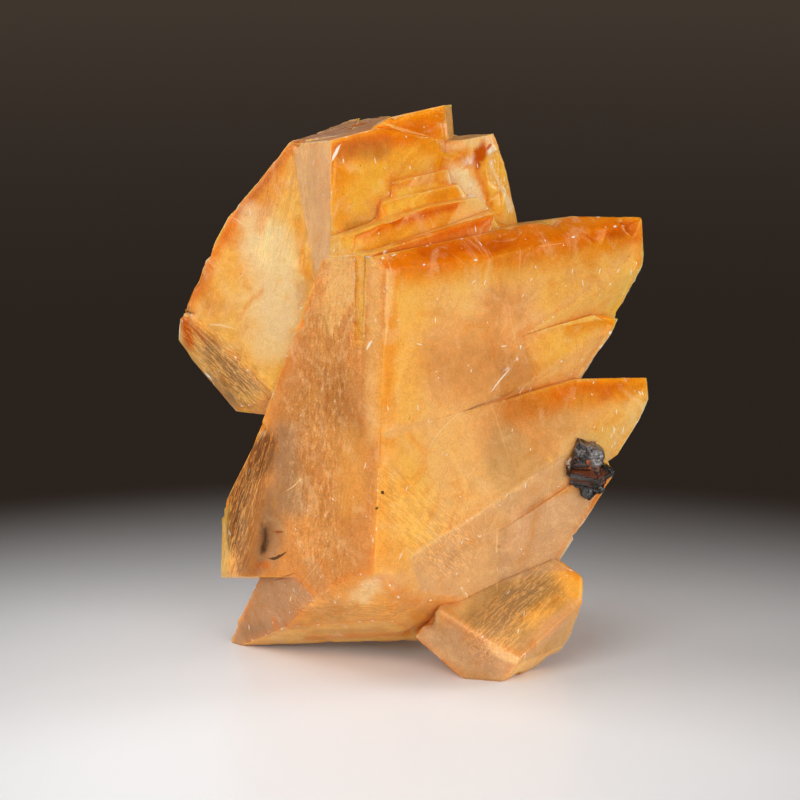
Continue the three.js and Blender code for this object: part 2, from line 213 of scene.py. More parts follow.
# Strokes laid over the faces: a tone, its strength, half the stroke's width in mm, and its pixels.
STROKES = {
    "uppermost fin, right face": [
        ("gold", 0.8, 8.0, (405, 285), (400, 340), (398, 400), (396, 470)),
        ("amber", 0.6, 2.6, (388, 280), (387, 340), (385, 430), (383, 545)),
        ("gold", 0.7, 6.0, (400, 275), (480, 268), (560, 262), (615, 250)),
        ("amber", 0.8, 4.5, (400, 268), (480, 258), (560, 248), (615, 236)),
        ("orange", 0.9, 3.6, (394, 264), (430, 258), (480, 249), (540, 241), (600, 234), (634, 230)),
        ("deep", 0.7, 2.4, (425, 252), (470, 246), (500, 244)),
        ("gold", 0.8, 6.0, (560, 300), (600, 285), (620, 275)),
        ("gold", 0.8, 3.6, (592, 298), (612, 300), (622, 275)),
        ("amber", 0.7, 2.4, (590, 262), (600, 250), (622, 232)),
        ("deep", 0.8, 2.0, (612, 234), (632, 224), (638, 236)),
        ("peach", 0.7, 2.6, (540, 328), (570, 305), (600, 285), (625, 262)),
        ("salmon", 0.7, 9.0, (505, 318), (520, 380)),
        ("salmon", 0.6, 9.0, (452, 362), (492, 374)),
        ("brown", 0.08, 8.0, (445, 372), (500, 370)),
        ("brown", 0.2, 4.0, (515, 370), (530, 380)),
        ("gold", 0.9, 3.5, (560, 345), (600, 325), (612, 322)),
        ("amber", 0.8, 2.2, (570, 330), (590, 320), (610, 320)),
        ("bright", 0.7, 2.0, (580, 348), (598, 338)),
        ("bright", 0.5, 3.0, (545, 378), (575, 366)),
        ("orange", 0.7, 1.2, (612, 324), (598, 345), (586, 364)),
    ],
    "grown steps": [
        ("salmon", 1.0, 1.4, (254, 449), (320, 443), (378, 436)),
        ("peach", 1.0, 1.4, (392, 572), (470, 526), (528, 492)),
        ("peach", 1.0, 1.4, (388, 434), (455, 416)),
    ],
    "second and third fin": [
        ("amber", 0.8, 5.0, (515, 408), (560, 396), (610, 388)),
        ("orange", 0.5, 4.0, (512, 410), (560, 398)),
        ("orange", 0.8, 3.0, (560, 388), (600, 383), (640, 381)),
        ("deep", 0.6, 1.6, (604, 396), (640, 382)),
        ("bright", 0.8, 3.5, (600, 432), (622, 412)),
        ("amber", 0.8, 2.4, (618, 396), (640, 386)),
        ("brown", 0.35, 5.5, (512, 410), (556, 422)),
        ("salmon", 0.6, 7.0, (500, 430), (540, 455)),
        ("straw", 0.6, 6.5, (500, 450), (528, 480)),
        ("gold", 0.7, 8.0, (400, 470), (415, 550)),
        ("amber", 0.35, 4.0, (388, 560), (440, 550), (480, 520)),
        ("cream", 0.5, 1.0, (411, 557), (460, 527), (505, 498), (560, 462)),
        # painted shade in the crease along the top border of the third fin
        ("amber", 0.8, 1.0, (520, 516), (545, 500), (571, 487)),
        ("brown", 0.5, 0.5, (518, 518), (536, 503), (556, 496)),
        ("bright", 0.9, 0.7, (549, 454), (551, 464)),
        ("peach", 0.7, 7.0, (455, 592), (420, 575)),
        ("sand", 0.7, 7.0, (530, 530), (570, 505)),
        ("orange", 0.8, 1.0, (609, 480), (588, 512), (563, 550)),
    ],
    "left face": [
        ("peach", 0.8, 3.5, (340, 268), (332, 300), (328, 320)),
        ("gold", 1.0, 1.5, (361, 260), (361, 300), (359, 340)),
        ("peach", 0.9, 2.4, (375, 262), (374, 340), (372, 440)),
        ("salmon", 0.8, 2.4, (371, 450), (368, 560)),
        # a painted highlight along the left side of the ridge
        ("gold", 0.5, 1.6, (381, 345), (380, 440), (378, 570)),
        ("brown", 0.3, 7.0, (325, 330), (335, 395)),
        ("rust", 0.18, 5.0, (330, 375), (350, 420)),
        ("salmon", 0.6, 7.0, (305, 420), (320, 500)),
        ("brown", 0.3, 10.0, (322, 400), (330, 480), (340, 560)),
        ("gold", 0.3, 5.0, (352, 440), (350, 500)),
        ("grey", 0.7, 5.0, (285, 440), (290, 500)),
        ("smoke", 0.4, 4.5, (262, 447), (250, 480), (236, 520)),
        ("grey", 0.7, 4.0, (275, 500), (268, 560)),
        ("grey", 0.6, 3.5, (238, 530), (240, 562)),
        ("dark", 0.85, 1.1, (264, 530), (266, 541), (263, 549)),
        ("bright", 0.9, 0.6, (229, 509), (232, 530), (231, 562)),
        ("orange", 0.7, 1.0, (257, 566), (267, 565)),
        ("pink", 0.8, 0.5, (228, 573), (255, 571), (262, 574)),
    ],
    "foot and faces under the show side": [
        ("smoke", 0.3, 2.2, (245, 634), (300, 626)),
        ("orange", 0.6, 1.0, (274, 620), (276, 630)),
        ("orange", 0.6, 2.0, (310, 638), (360, 636), (405, 634)),
        ("cream", 0.6, 2.6, (376, 578), (362, 598)),
        ("salmon", 0.6, 4.0, (400, 600), (440, 612)),
        ("brown", 0.35, 4.5, (298, 618), (348, 610)),
        ("brown", 0.25, 2.5, (320, 632), (380, 630)),
        ("brown", 0.15, 4.0, (390, 612), (415, 608)),
    ],
    "crown, left side": [
        ("salmon", 0.8, 8.0, (262, 190), (234, 240), (214, 290)),
        ("amber", 0.7, 4.8, (280, 165), (247, 208), (220, 252), (203, 288)),
        ("orange", 0.8, 3.2, (288, 146), (262, 178), (232, 214), (212, 250), (193, 290), (186, 302)),
        ("rust", 0.5, 2.0, (276, 162), (253, 194), (240, 210)),
        ("rust", 0.35, 2.0, (205, 262), (192, 292)),
        ("cream", 0.9, 7.0, (262, 240), (284, 268), (278, 310)),
        ("cream", 0.7, 3.5, (246, 216), (262, 226), (276, 236)),
        ("cream", 0.4, 7.0, (250, 260), (262, 330)),
        ("gold", 0.8, 4.5, (228, 262), (226, 290)),
        ("salmon", 0.5, 2.0, (266, 205), (258, 228)),
        ("amber", 0.7, 1.6, (298, 222), (304, 262), (308, 276)),
        ("amber", 0.6, 0.6, (237, 321), (250, 302), (263, 290)),
        ("amber", 0.7, 0.6, (245, 284), (250, 288)),
        ("deep", 0.95, 2.8, (186, 318), (188, 338)),
        ("deep", 0.8, 1.4, (194, 326), (204, 340)),
        ("grey", 0.4, 5.0, (212, 348), (246, 380)),
        ("smoke", 0.6, 3.0, (212, 380), (232, 402)),
        ("cream", 0.6, 5.0, (268, 345), (290, 335)),
        ("bright", 0.8, 2.6, (246, 402), (268, 402)),
    ],
    "crown, right side": [
        ("rust", 0.6, 1.8, (396, 123), (440, 113)),
        ("rust", 0.35, 4.5, (400, 126), (440, 122)),
        ("deep", 0.7, 3.0, (404, 128), (440, 126)),
        ("rust", 0.9, 3.2, (310, 138), (345, 128), (384, 118)),
        ("orange", 0.7, 1.4, (330, 138), (384, 124)),
        ("amber", 0.9, 5.0, (345, 162), (400, 158), (440, 150)),
        ("amber", 0.95, 6.5, (342, 155), (380, 146), (430, 135)),
        ("orange", 0.8, 3.5, (338, 150), (380, 140), (430, 128)),
        ("amber", 0.5, 3.0, (338, 165), (337, 215)),
        ("honey", 0.9, 5.0, (370, 170), (420, 160)),
        ("grey", 0.15, 3.5, (395, 176), (418, 174)),
        ("bright", 0.9, 3.0, (440, 148), (434, 166)),
        ("brown", 0.7, 1.2, (370, 204), (376, 210)),
        ("brown", 0.5, 2.0, (372, 216), (350, 228)),
        ("amber", 0.7, 2.4, (360, 234), (400, 222), (430, 212)),
        ("honey", 0.9, 5.0, (385, 205), (440, 192)),
        ("honey", 0.9, 3.5, (352, 246), (400, 236)),
        ("orange", 0.9, 1.7, (356, 233), (400, 221), (458, 205)),
        ("deep", 0.85, 1.0, (392, 222), (458, 204)),
        ("orange", 0.9, 1.8, (400, 243), (450, 228), (494, 217)),
        ("deep", 0.85, 1.1, (426, 237), (494, 217)),
        ("amber", 0.9, 1.8, (434, 197), (462, 190)),
        ("orange", 0.6, 0.8, (398, 186), (430, 180), (456, 184)),
        ("amber", 0.9, 1.2, (430, 177), (452, 169), (470, 164)),
        ("amber", 0.95, 3.0, (430, 146), (446, 152), (438, 166)),
        ("brown", 0.5, 3.0, (342, 150), (384, 148)),
        ("cream", 1.0, 3.0, (456, 176), (470, 188), (482, 204)),
        ("white", 0.8, 1.6, (462, 180), (474, 196)),
        ("cream", 0.8, 2.2, (455, 142), (476, 138), (494, 136)),
        ("white", 0.9, 0.8, (466, 161), (478, 160)),
        # painted shade under an overhang at the crown's right edge
        ("deep", 0.9, 2.2, (478, 156), (487, 148)),
        ("orange", 0.8, 0.9, (475, 162), (480, 180), (492, 206)),
        ("amber", 0.7, 2.0, (486, 160), (491, 188), (499, 210)),
        ("cream", 1.0, 1.0, (503, 142), (509, 170), (513, 206)),
        ("white", 0.7, 0.9, (506, 150), (510, 180)),
    ],
    "pale crystal": [
        ("gold", 0.9, 3.5, (570, 575), (578, 590)),
        ("grey", 0.4, 4.5, (490, 625), (512, 602), (530, 590)),
        ("gold", 0.7, 3.0, (536, 622), (560, 596), (572, 582)),
        ("orange", 0.9, 0.6, (556, 567), (570, 571), (584, 583)),
        # a painted highlight along a ridge of the pale crystal
        ("cream", 0.6, 0.7, (442, 613), (478, 634), (506, 655)),
        ("cream", 0.9, 1.5, (490, 644), (514, 660)),
        ("cream", 0.5, 1.0, (536, 640), (560, 616), (578, 600)),
        ("sand", 0.6, 4.0, (532, 645), (556, 628)),
    ],
}

# Flat inner faces that show through with a straight border, and one patch of painted shade: a tone, its
# strength, and the corners.
PATCHES = {
    "fins": [
        ("bright", 0.8, (527, 333), (605, 281), (632, 257), (637, 262), (622, 298), (606, 318), (560, 327)),
        ("peach", 0.5, (502, 401), (583, 340), (611, 324), (590, 370), (545, 383)),
        ("bright", 0.5, (580, 443), (600, 424), (645, 387), (640, 400), (612, 446), (604, 470)),
        (
            "sand", 0.55, (411, 558), (505, 499), (566, 452), (575, 470), (521, 515), (548, 500),
            (598, 488), (566, 552), (499, 584), (455, 598), (420, 590),
        ),
        ("peach", 0.35, (455, 546), (499, 528), (499, 583), (462, 598)),
        ("straw", 0.35, (492, 425), (545, 440), (562, 458), (500, 497), (486, 470)),
        ("brown", 0.07, (433, 352), (505, 345), (512, 385), (470, 398), (440, 384)),
    ],
    "ridge beside the left face": [
        ("peach", 0.7, (325, 290), (333, 264), (356, 257), (355, 300), (332, 332)),
        ("gold", 0.8, (357, 258), (367, 258), (366, 300), (364, 342), (355, 341)),
        ("amber", 0.5, (357, 258), (360, 258), (359, 340), (355, 341)),
        ("cream", 0.4, (386, 266), (395, 270), (392, 300), (386, 345), (384, 300)),
    ],
    "foot": [("cream", 0.45, (371, 578), (379, 580), (366, 603), (354, 598))],
    "under the crown": [("grey", 0.3, (296, 282), (313, 278), (303, 305), (297, 312))],
    "crown, right side": [
        # painted shade under an overhang at the crown's right edge
        ("deep", 0.9, (474, 150), (493, 143), (484, 158), (476, 172)),
        ("cream", 0.9, (448, 174), (462, 166), (476, 182), (486, 202), (470, 198), (456, 188)),
        ("peach", 0.8, (458, 206), (480, 199), (493, 214), (452, 225)),
        ("amber", 0.6, (362, 236), (415, 222), (405, 244), (360, 252)),
        ("honey", 0.85, (484, 158), (497, 148), (505, 165), (506, 208), (496, 214), (488, 190)),
        ("cream", 0.9, (499, 136), (508, 142), (516, 175), (514, 212), (508, 212), (506, 165), (498, 148)),
    ],
    "left face": [("grey", 0.3, (300, 560), (318, 555), (342, 604), (322, 600))],
}

# How clear the crystal is, from 0 for milky to 1 for a see-through place.
CLEAR = {
    "crown, lower tip": [(0.55, 7.0, (212, 352), (240, 392)), (0.35, 5.0, (250, 380), (262, 394))],
    "smoky left side": [
        (0.75, 5.0, (262, 445), (240, 490), (230, 540)),
        (0.5, 6.0, (262, 500), (252, 560)),
    ],
    "pale crystal": [(0.45, 7.0, (490, 615), (540, 590)), (0.35, 6.0, (450, 635), (480, 665))],
}

# How frosted the surface is, from 0 for glossy to 1 for sugary.
FROST = {
    "left face": [(0.9, 13.0, (335, 290), (330, 360), (315, 440), (310, 520), (330, 560))],
    "ridge": [(0.5, 6.0, (375, 290), (372, 420), (368, 540))],
    "crown, ledges": [(0.5, 6.0, (345, 220), (400, 200))],
    "crown, narrow face": [(0.6, 3.5, (298, 160), (300, 240))],
    "crown, top edge": [(0.9, 3.0, (310, 138), (345, 128), (384, 118))],
}

# Fine strands within the crystal: strength, reach in mm, and the pixels that they run along.
STRANDS = {
    "crown, lower tip": [(1.0, 7.0, (200, 345), (262, 402))],
    "smoky left side": [(0.8, 6.0, (258, 440), (228, 560))],
    "second fin": [(0.4, 8.0, (390, 494), (450, 552))],
    "pale crystal": [(0.6, 7.0, (490, 636), (540, 585))],
    "crown, narrow face": [(0.6, 5.0, (300, 150), (300, 250))],
    "left face": [(0.4, 9.0, (330, 300), (322, 420), (315, 540))],
    "crown, left face": [(0.35, 6.0, (280, 190), (268, 250))],
    "foot": [(0.4, 5.0, (300, 606), (400, 612))],
}

# Thin marks, with painted glints where edges and rims catch the light: a tone, strength, half the width in
# mm, and the pixels.
MARKS_AND_GLINTS = {
    "crack in the uppermost fin": [
        ("white", 1.0, 0.2, (522, 342), (519, 352), (513, 365)),
        ("white", 0.8, 0.13, (513, 365), (500, 380), (489, 395)),
        ("white", 1.0, 0.36, (523, 341), (524, 341)),
    ],
    "second fin": [("cream", 0.7, 0.12, (460, 412), (447, 424), (436, 436), (427, 452))],
    "crown, left face": [
        ("cream", 0.7, 0.16, (232, 217), (240, 222), (250, 229)),
        # painted glints where the crown's left edges catch the light
        ("cream", 0.8, 0.2, (202, 324), (220, 325), (236, 329)),
        ("white", 0.9, 0.35, (205, 372), (208, 376), (212, 380)),
    ],
    # a painted glint on the crown's top edge
    "crown, top": [("white", 0.9, 0.3, (341, 144), (336, 152), (331, 162))],
    "ridge": [
        # painted glints on the edges of the ridge
        ("white", 0.9, 0.3, (386, 251), (383, 256), (381, 260)),
        ("white", 0.8, 0.25, (372, 340), (369, 345), (366, 350)),
    ],
    # a painted glint along the crown's upper rim
    "painted glint on the upper rim of the crown": [("bright", 0.9, 0.35, (383, 123), (400, 129), (416, 134), (432, 137))],
    "left face": [("cream", 0.6, 0.14, (302, 477), (293, 487), (284, 492))],
    "dark grains in the ridge": [
        ("dark", 0.9, 0.3, (381, 491), (384, 494)),
        ("dark", 0.9, 0.25, (376, 508), (377, 509)),
    ],
    "smoky left side": [
        ("dark", 0.8, 0.3, (268, 558), (274, 559), (280, 556), (287, 552)),
        ("rust", 0.8, 0.2, (274, 532), (284, 532)),
        ("rust", 0.6, 0.2, (273, 581), (285, 577), (297, 572)),
    ],
    "third fin": [("cream", 0.6, 0.25, (497, 530), (497, 560), (497, 590))],
}

# Marks scattered all round: a tone, strength, half the width in mm, how many, the range of their half
# lengths in mm, and how much they lean.
SCATTERED = {
    "pale veins": ("cream", 0.30, 0.10, 90, (3.0, 9.0), 0.5),
    "brown veins": ("brown", 0.15, 0.12, 40, (2.0, 6.0), 0.6),
    # painted glints: tiny white specks where the surface catches the light
    "painted glint specks": ("white", 0.85, 0.10, 360, (0.15, 0.7), 0.5),
    "rusty specks": ("rust", 0.60, 0.09, 120, (0.1, 0.4), 1.0),
}

# Glints along the crystal edges: the tone, strength, half width, and how many.
EDGE_GLINTS = ("white", 0.8, 0.16, 260)

# Steps that have grown over: the reach in mm, how often they are smoothed, whether the crystal edges
# there are smoothed too, and pixels along them.
SWELLS = {
    "left face": [(6.0, 160, False, (252, 450), (320, 443), (380, 436))],
    "second fin": [(6.0, 160, True, (386, 434), (440, 420), (490, 405))],
    "third fin": [(3.0, 60, False, (390, 574), (470, 526), (528, 492))],
    "ends of the crown's ledges": [
        (3.4, 60, True, (386, 200), (386, 214)),
        (3.4, 60, True, (397, 178), (397, 194)),
        (3.4, 60, True, (359, 236), (359, 250)),
    ],
}

# The groove beside the ridge, which is shallow: pixels along it and on the face beside it.
GROOVE_LINE = [(361, 258), (361, 341)]
GROOVE_FACE = (345, 300)
GROOVE_REACH = 2.0
GROOVE_FILLED = 0.7

# Strokes on the sphalerite: tone, how metallic, half the width in mm, and the pixels.
BLENDE_STROKES = {
    "silvery side and painted highlights": [
        ("steel", 0.5, 2.2, (580, 446), (598, 445), (597, 456)),
        # painted highlights where the rims catch the light, with a little metallic lustre
        ("silver", 0.15, 1.1, (567, 450), (567, 462), (572, 476)),
        ("silver", 0.15, 0.7, (590, 438), (596, 442)),
    ],
    "brown streaks": [
        ("rust", 0.0, 0.5, (588, 462), (592, 472), (590, 480)),
        ("rust", 0.0, 0.4, (598, 468), (602, 476), (606, 484)),
    ],
    "reddish spots": [
        ("liver", 0.0, 0.8, (604, 470), (601, 478)),
        ("liver", 0.0, 0.5, (572, 441), (577, 441)),
    ],
}

# Chips broken out of the edges: a pixel on the edge, and how deep the break goes in mm.
CHIPS = {
    "crown, left edge": [(293, 143, 0.3), (262, 178, 0.12), (232, 216, 0.15), (213, 252, 0.2)],
    "crown, lower tip": [(203, 270, 0.4), (190, 303, 0.7), (183, 345, 0.4), (207, 383, 0.4)],
    "crown, top": [(446, 135, 0.5), (403, 118, 0.35)],
    "crown, plate": [(497, 140, 0.7), (509, 170, 0.6), (495, 215, 0.5)],
    "tips of the fins": [(638, 222, 0.4), (612, 320, 0.4), (640, 380, 0.35), (613, 478, 0.4)],
    "uppermost fin": [(537, 222, 0.4)],
    "left side": [(258, 440, 0.4), (225, 505, 0.5), (236, 638, 0.5)],
    "pale crystal": [(565, 566, 0.6), (581, 590, 0.6), (430, 615, 0.4)],
    "ridge": [(385, 268, 0.5), (325, 330, 0.4)],
}

# Whole numbers that mix the bits of a lattice point, for noise that is the same in each run.
POINT_MIXERS = (374761393, 668265263, 2147483647, 974711)
BIT_MIXERS = (1274126177, 2246822519)
LOW_BITS = 0xFFFFFFFF


def placed(name, data):
    """A new object in the scene, for its data."""
    piece = bpy.data.objects.new(name, data)
    bpy.context.scene.collection.objects.link(piece)
    return piece


def rows(table):
    """The rows of a table's groups, in their order."""
    return [row for group in table.values() for row in group]


def arr(values):
    return np.asarray(values, dtype=float)


UP = arr((0, 0, 1))


def linear(tone):
    """A tone's linear light, from its 0 to 255 values."""
    c = arr(TONES[tone]) / 255
    return np.where(c <= 0.04045, c / 12.92, ((c + 0.055) / 1.055) ** 2.4)


def smooth(x, low, high):
    """0 at low and 1 at high, with a soft step between them. low may be above high."""
    t = np.clip((x - low) / (high - low), 0, 1)
    return t * t * (3 - 2 * t)


def lattice(ix, iy, iz, seed):
    """A repeatable value from 0 to 1 for each point of a whole-number lattice."""
    h = sum(value * mixer for value, mixer in zip((ix, iy, iz, seed), POINT_MIXERS)) & LOW_BITS
    h = ((h ^ (h >> 13)) * BIT_MIXERS[0]) & LOW_BITS
    h = ((h ^ (h >> 16)) * BIT_MIXERS[1]) & LOW_BITS
    return (h ^ (h >> 15)).astype(float) / LOW_BITS


def noise(points, size, seed):
    """Smooth noise from -1 to 1 at each point, with bumps about size across."""
    q = points / size
    base = np.floor(q)
    f = q - base
    f = f * f * f * (f * (f * 6 - 15) + 10)
    i = base.astype(np.int64)
    out = np.zeros(len(points))
    for dx in (0, 1):
        for dy in (0, 1):
            for dz in (0, 1):
                w = np.abs(1 - dx - f[:, 0]) * np.abs(1 - dy - f[:, 1]) * np.abs(1 - dz - f[:, 2])
                out += w * lattice(i[:, 0] + dx, i[:, 1] + dy, i[:, 2] + dz, seed)
    return out * 2 - 1


def cloud(points, size, seed, octaves=3):
    """Noise of several sizes, each half of the one before."""
    total = np.zeros(len(points))
    for k in range(octaves):
        total += noise(points, size / 2**k, seed + 17 * k) / 2**k
    return total / (2 - 2 ** (1 - octaves))


# The photograph's camera, as rays from its place.
FORWARD = Vector((0, math.cos(CAMERA_RISE), -math.sin(CAMERA_RISE)))
CAMERA_UP = Vector((0, math.sin(CAMERA_RISE), math.cos(CAMERA_RISE)))
CAMERA_AT = LOOK_AT - FORWARD * CAMERA_DISTANCE


def ray_through(u, v):
    """The way from the camera through a pixel of the photograph."""
    across = (u - PHOTO_SIDE / 2) / PIXELS_PER_UNIT
    rise = (PHOTO_SIDE / 2 - v) / PIXELS_PER_UNIT
    return (FORWARD + Vector((across, 0, 0)) + CAMERA_UP * rise).normalized()


def line_distance(points, line):
    """The distance of each point from a line of short pieces."""
    best = np.full(len(points), np.inf)
    for a, b in zip(line[:-1], line[1:]):
        along = b - a
        t = np.clip((points - a) @ along / max(along @ along, TINY), 0, 1)
        best = np.minimum(best, np.linalg.norm(points - a - t[:, None] * along, axis=1))
    return best


def width_of(face):
    """About how wide a long thin face is."""
    return 2 * face.calc_area() / face.calc_perimeter()


def facets_of(node, low_step):
    """The node's solid in millimetres, with a number for each flat face of the crystals. Steps lower
    than low_step are closed up."""
    bm = bmesh.new()
    bm.from_mesh(node.data)
    bmesh.ops.scale(bm, vec=(1 / MM,) * 3, verts=bm.verts)
    bmesh.ops.remove_doubles(bm, verts=bm.verts, dist=WELD)
    bmesh.ops.dissolve_limit(bm, angle_limit=FLAT_ANGLE, verts=bm.verts, edges=bm.edges)
    layer = bm.faces.layers.int.new("facet")
    bm.normal_update()
    for i, f in enumerate(bm.faces):
        f[layer] = i
    normals = arr([f.normal for f in bm.faces])
    narrow = arr([width_of(f) for f in bm.faces]) < (NARROW_FACE if low_step else 0)
    long_faces = [f for f in bm.faces if narrow[f[layer]] and f.calc_perimeter() > 2 * LONG_STEP]
    low = {v for f in long_faces for v in f.verts}
    bmesh.ops.triangulate(bm, faces=bm.faces, quad_method="BEAUTY", ngon_method="BEAUTY")
    if low_step:
        bmesh.ops.remove_doubles(bm, verts=list(low), dist=low_step)
    return bm, layer, normals, narrow


def inside_facets(bm, layer):
    """The edges that don't lie between two facets."""
    return [e for e in bm.edges if e.link_faces[0][layer] == e.link_faces[1][layer]]


def settle(bm, layer):
    """Evens out the points inside each facet, which stay in its plane."""
    edges = set(inside_facets(bm, layer))
    free = [v for v in bm.verts if all(e in edges for e in v.link_edges)]
    bmesh.ops.smooth_vert(bm, verts=free, factor=0.5, use_axis_x=True, use_axis_y=True, use_axis_z=True)


def refine(bm, layer, longest):
    """Splits the longest edges first, turning edges within each facet so that triangles stay round,
    and then halves every edge twice."""
    for _ in range(MOST_ROUNDS):
        lengths = {e: e.calc_length() for e in bm.edges}
        top = max(lengths.values())
        if top <= longest:
            break
        limit = max(longest, LONGEST_FIRST * top)
        bmesh.ops.subdivide_edges(bm, edges=[e for e, d in lengths.items() if d > limit], cuts=1)
        bmesh.ops.triangulate(bm, faces=[f for f in bm.faces if len(f.verts) > 3])
        bmesh.ops.beautify_fill(bm, faces=bm.faces, edges=inside_facets(bm, layer), method="ANGLE")
        if top < 3 * longest:
            settle(bm, layer)
    settle(bm, layer)
    for _ in range(2):
        bmesh.ops.subdivide_edges(bm, edges=bm.edges, cuts=1, use_grid_fill=True)


def refine_near(bm, lines, reach):
    """Halves the edges close to lines, twice."""
    for _ in range(2):
        bm.verts.ensure_lookup_table()
        at = arr([v.co for v in bm.verts])
        near = np.zeros(len(at), bool)
        for line in lines:
            close = np.all((at > line.min(0) - reach) & (at < line.max(0) + reach), axis=1)
            index = np.nonzero(close)[0]
            near[index[line_distance(at[index], line) < reach]] = True
        edges = [e for e in bm.edges if near[e.verts[0].index] and near[e.verts[1].index]]
        bmesh.ops.subdivide_edges(bm, edges=edges, cuts=1)
        bmesh.ops.triangulate(bm, faces=[f for f in bm.faces if len(f.verts) > 3])


def drop_doubled(bm):
    """Takes out pairs of faces that lie back to back on the same points."""
    bm.verts.index_update()
    seen = {}
    doubled = []
    for f in bm.faces:
        other = seen.setdefault(frozenset(v.index for v in f.verts), f)
        if other is not f:
            doubled += [f, other]
    bmesh.ops.delete(bm, geom=doubled, context="FACES")


def read(items, name, width, kind):
    """One value, or a row of values, of each item."""
    out = np.zeros(len(items) * width, kind)
    items.foreach_get(name, out)
    return out.reshape(-1, width) if width > 1 else out


class Surface:
    """A solid's fine mesh, and its points as they lie on each facet: a pair is a point and a facet."""

    def __init__(self, node, low_step=0.0):
        self.coarse, self.layer, self.facet_normals, self.narrow = facets_of(node, low_step)
        self.tree = BVHTree.FromBMesh(self.coarse)
        self.tree_facets = [f[self.layer] for f in self.coarse.faces]
        self.edge_points = self.crystal_edges()

    def crystal_edges(self):
        """Points along the outward crystal edges, without the low steps."""
        points = []
        for e in self.coarse.edges:
            step = any(self.narrow[f[self.layer]] for f in e.link_faces)
            if e.calc_face_angle_signed() > SHARP_ANGLE and not step:
                a, b = arr(e.verts[0].co), arr(e.verts[1].co)
                n = max(1, int(np.linalg.norm(b - a) / EDGE_STEP))
                points += [a + (b - a) * (k + 0.5) / n for k in range(n)]
        return arr(points)

    def spot(self, u, v):
        """The point and the facet seen at a pixel of the photograph, or the nearest ones to it
        where the pixel lies just outside the outline."""
        ray = ray_through(u, v)
        point, _, index, _ = self.tree.ray_cast(CAMERA_AT, ray)
        if point is None:
            beside = CAMERA_AT + ray * ((LOOK_AT.y - CAMERA_AT.y) / ray.y)
            point, _, index, _ = self.tree.find_nearest(beside)
        return arr(point), self.tree_facets[index]

    def line(self, pixels):
        """The points on the surface along a line of pixels, and the facets that it runs over."""
        spots = []
        for (u0, v0), (u1, v1) in zip(pixels[:-1], pixels[1:]):
            n = max(1, round(math.hypot(u1 - u0, v1 - v0) / STROKE_STEP))
            spots += [self.spot(u0 + (u1 - u0) * k / n, v0 + (v1 - v0) * k / n) for k in range(n)]
        spots.append(self.spot(*pixels[-1]))
        return arr([p for p, _ in spots]), sorted({f for _, f in spots})

    def make_mesh(self, name, longest, fine_lines=()):
        """Refines the solid into the mesh, and finds its pairs and their directions."""
        refine(self.coarse, self.layer, longest)
        refine_near(self.coarse, fine_lines, FINE_REACH)
        drop_doubled(self.coarse)
        self.mesh = bpy.data.meshes.new(name)
        self.coarse.to_mesh(self.mesh)
        self.coarse.free()
        self.at = read(self.mesh.vertices, "co", 3, float)
        self.edges = read(self.mesh.edges, "vertices", 2, np.int32)
        self.corners = read(self.mesh.loops, "vertex_index", 1, np.int32)
        facet = read(self.mesh.attributes["facet"].data, "value", 1, np.int32)
        pairs = self.corners.astype(np.int64) * FACET_LIMIT + np.repeat(facet, 3)
        unique, self.pair_of_corner = np.unique(pairs, return_inverse=True)
        self.pair_vertex = unique // FACET_LIMIT
        self.pair_facet = unique % FACET_LIMIT
        self.pair_at = self.at[self.pair_vertex]
        self.pair_normal = self.facet_normals[self.pair_facet]
        self.on_border = np.bincount(self.pair_vertex, minlength=len(self.at)) > 1
        weight = np.where(self.narrow[self.pair_facet], NARROW_WEIGHT, 1.0)
        summed = np.zeros_like(self.at)
        np.add.at(summed, self.pair_vertex, self.pair_normal * weight[:, None])
        length = np.linalg.norm(summed, axis=1)
        self.normal = summed / length[:, None]
        share = length / np.bincount(self.pair_vertex, weight, len(self.at))
        self.on_edge = self.on_border & (share < math.cos(SHARP_ANGLE / 2))
        self.edge_vertices = np.nonzero(self.on_edge)[0]

    def corner_normals(self, places):
        """The shading normals: flat up to the crystal edges, and smooth over everything else."""
        a, b, c = (places[self.corners[k::3]] for k in range(3))
        corner = np.repeat(np.cross(b - a, c - a), 3, axis=0)
        own = np.zeros((len(self.pair_at), 3))
        np.add.at(own, self.pair_of_corner, corner)
        shared = np.zeros_like(places)
        np.add.at(shared, self.corners, corner)
        soft = ~self.on_edge[self.pair_vertex] | self.narrow[self.pair_facet]
        own[soft] = shared[self.pair_vertex[soft]]
        own /= np.linalg.norm(own, axis=1)[:, None] + TINY
        return own[self.pair_of_corner]

    def thickness(self):
        """How far each point is from the far side, straight through the crystal. A crystal edge
        takes the value of the points beside it."""
        out = np.full(len(self.pair_at), FAR_SIDE)
        starts = self.pair_at - JUST_INSIDE * self.pair_normal
        for i, (start, normal) in enumerate(zip(starts, self.pair_normal)):
            hit = self.tree.ray_cast(start, -normal)
            if hit[0] is not None:
                out[i] = hit[3]
        longest = np.zeros(len(self.at))
        np.maximum.at(longest, self.pair_vertex, out)
        longest[self.on_border] = 0
        for _ in range(2):
            a, b = self.edges.T
            beside = longest.copy()
            np.maximum.at(beside, a, longest[b])
            np.maximum.at(beside, b, longest[a])
            longest = np.where(longest == 0, beside, longest)
        return longest[self.pair_vertex]

    def edge_distance(self):
        """How far each point is from an outward crystal edge."""
        tree = KDTree(len(self.edge_points))
        for i, point in enumerate(self.edge_points):
            tree.insert(point, i)
        tree.balance()
        return arr([tree.find(p)[2] for p in self.at])[self.pair_vertex]

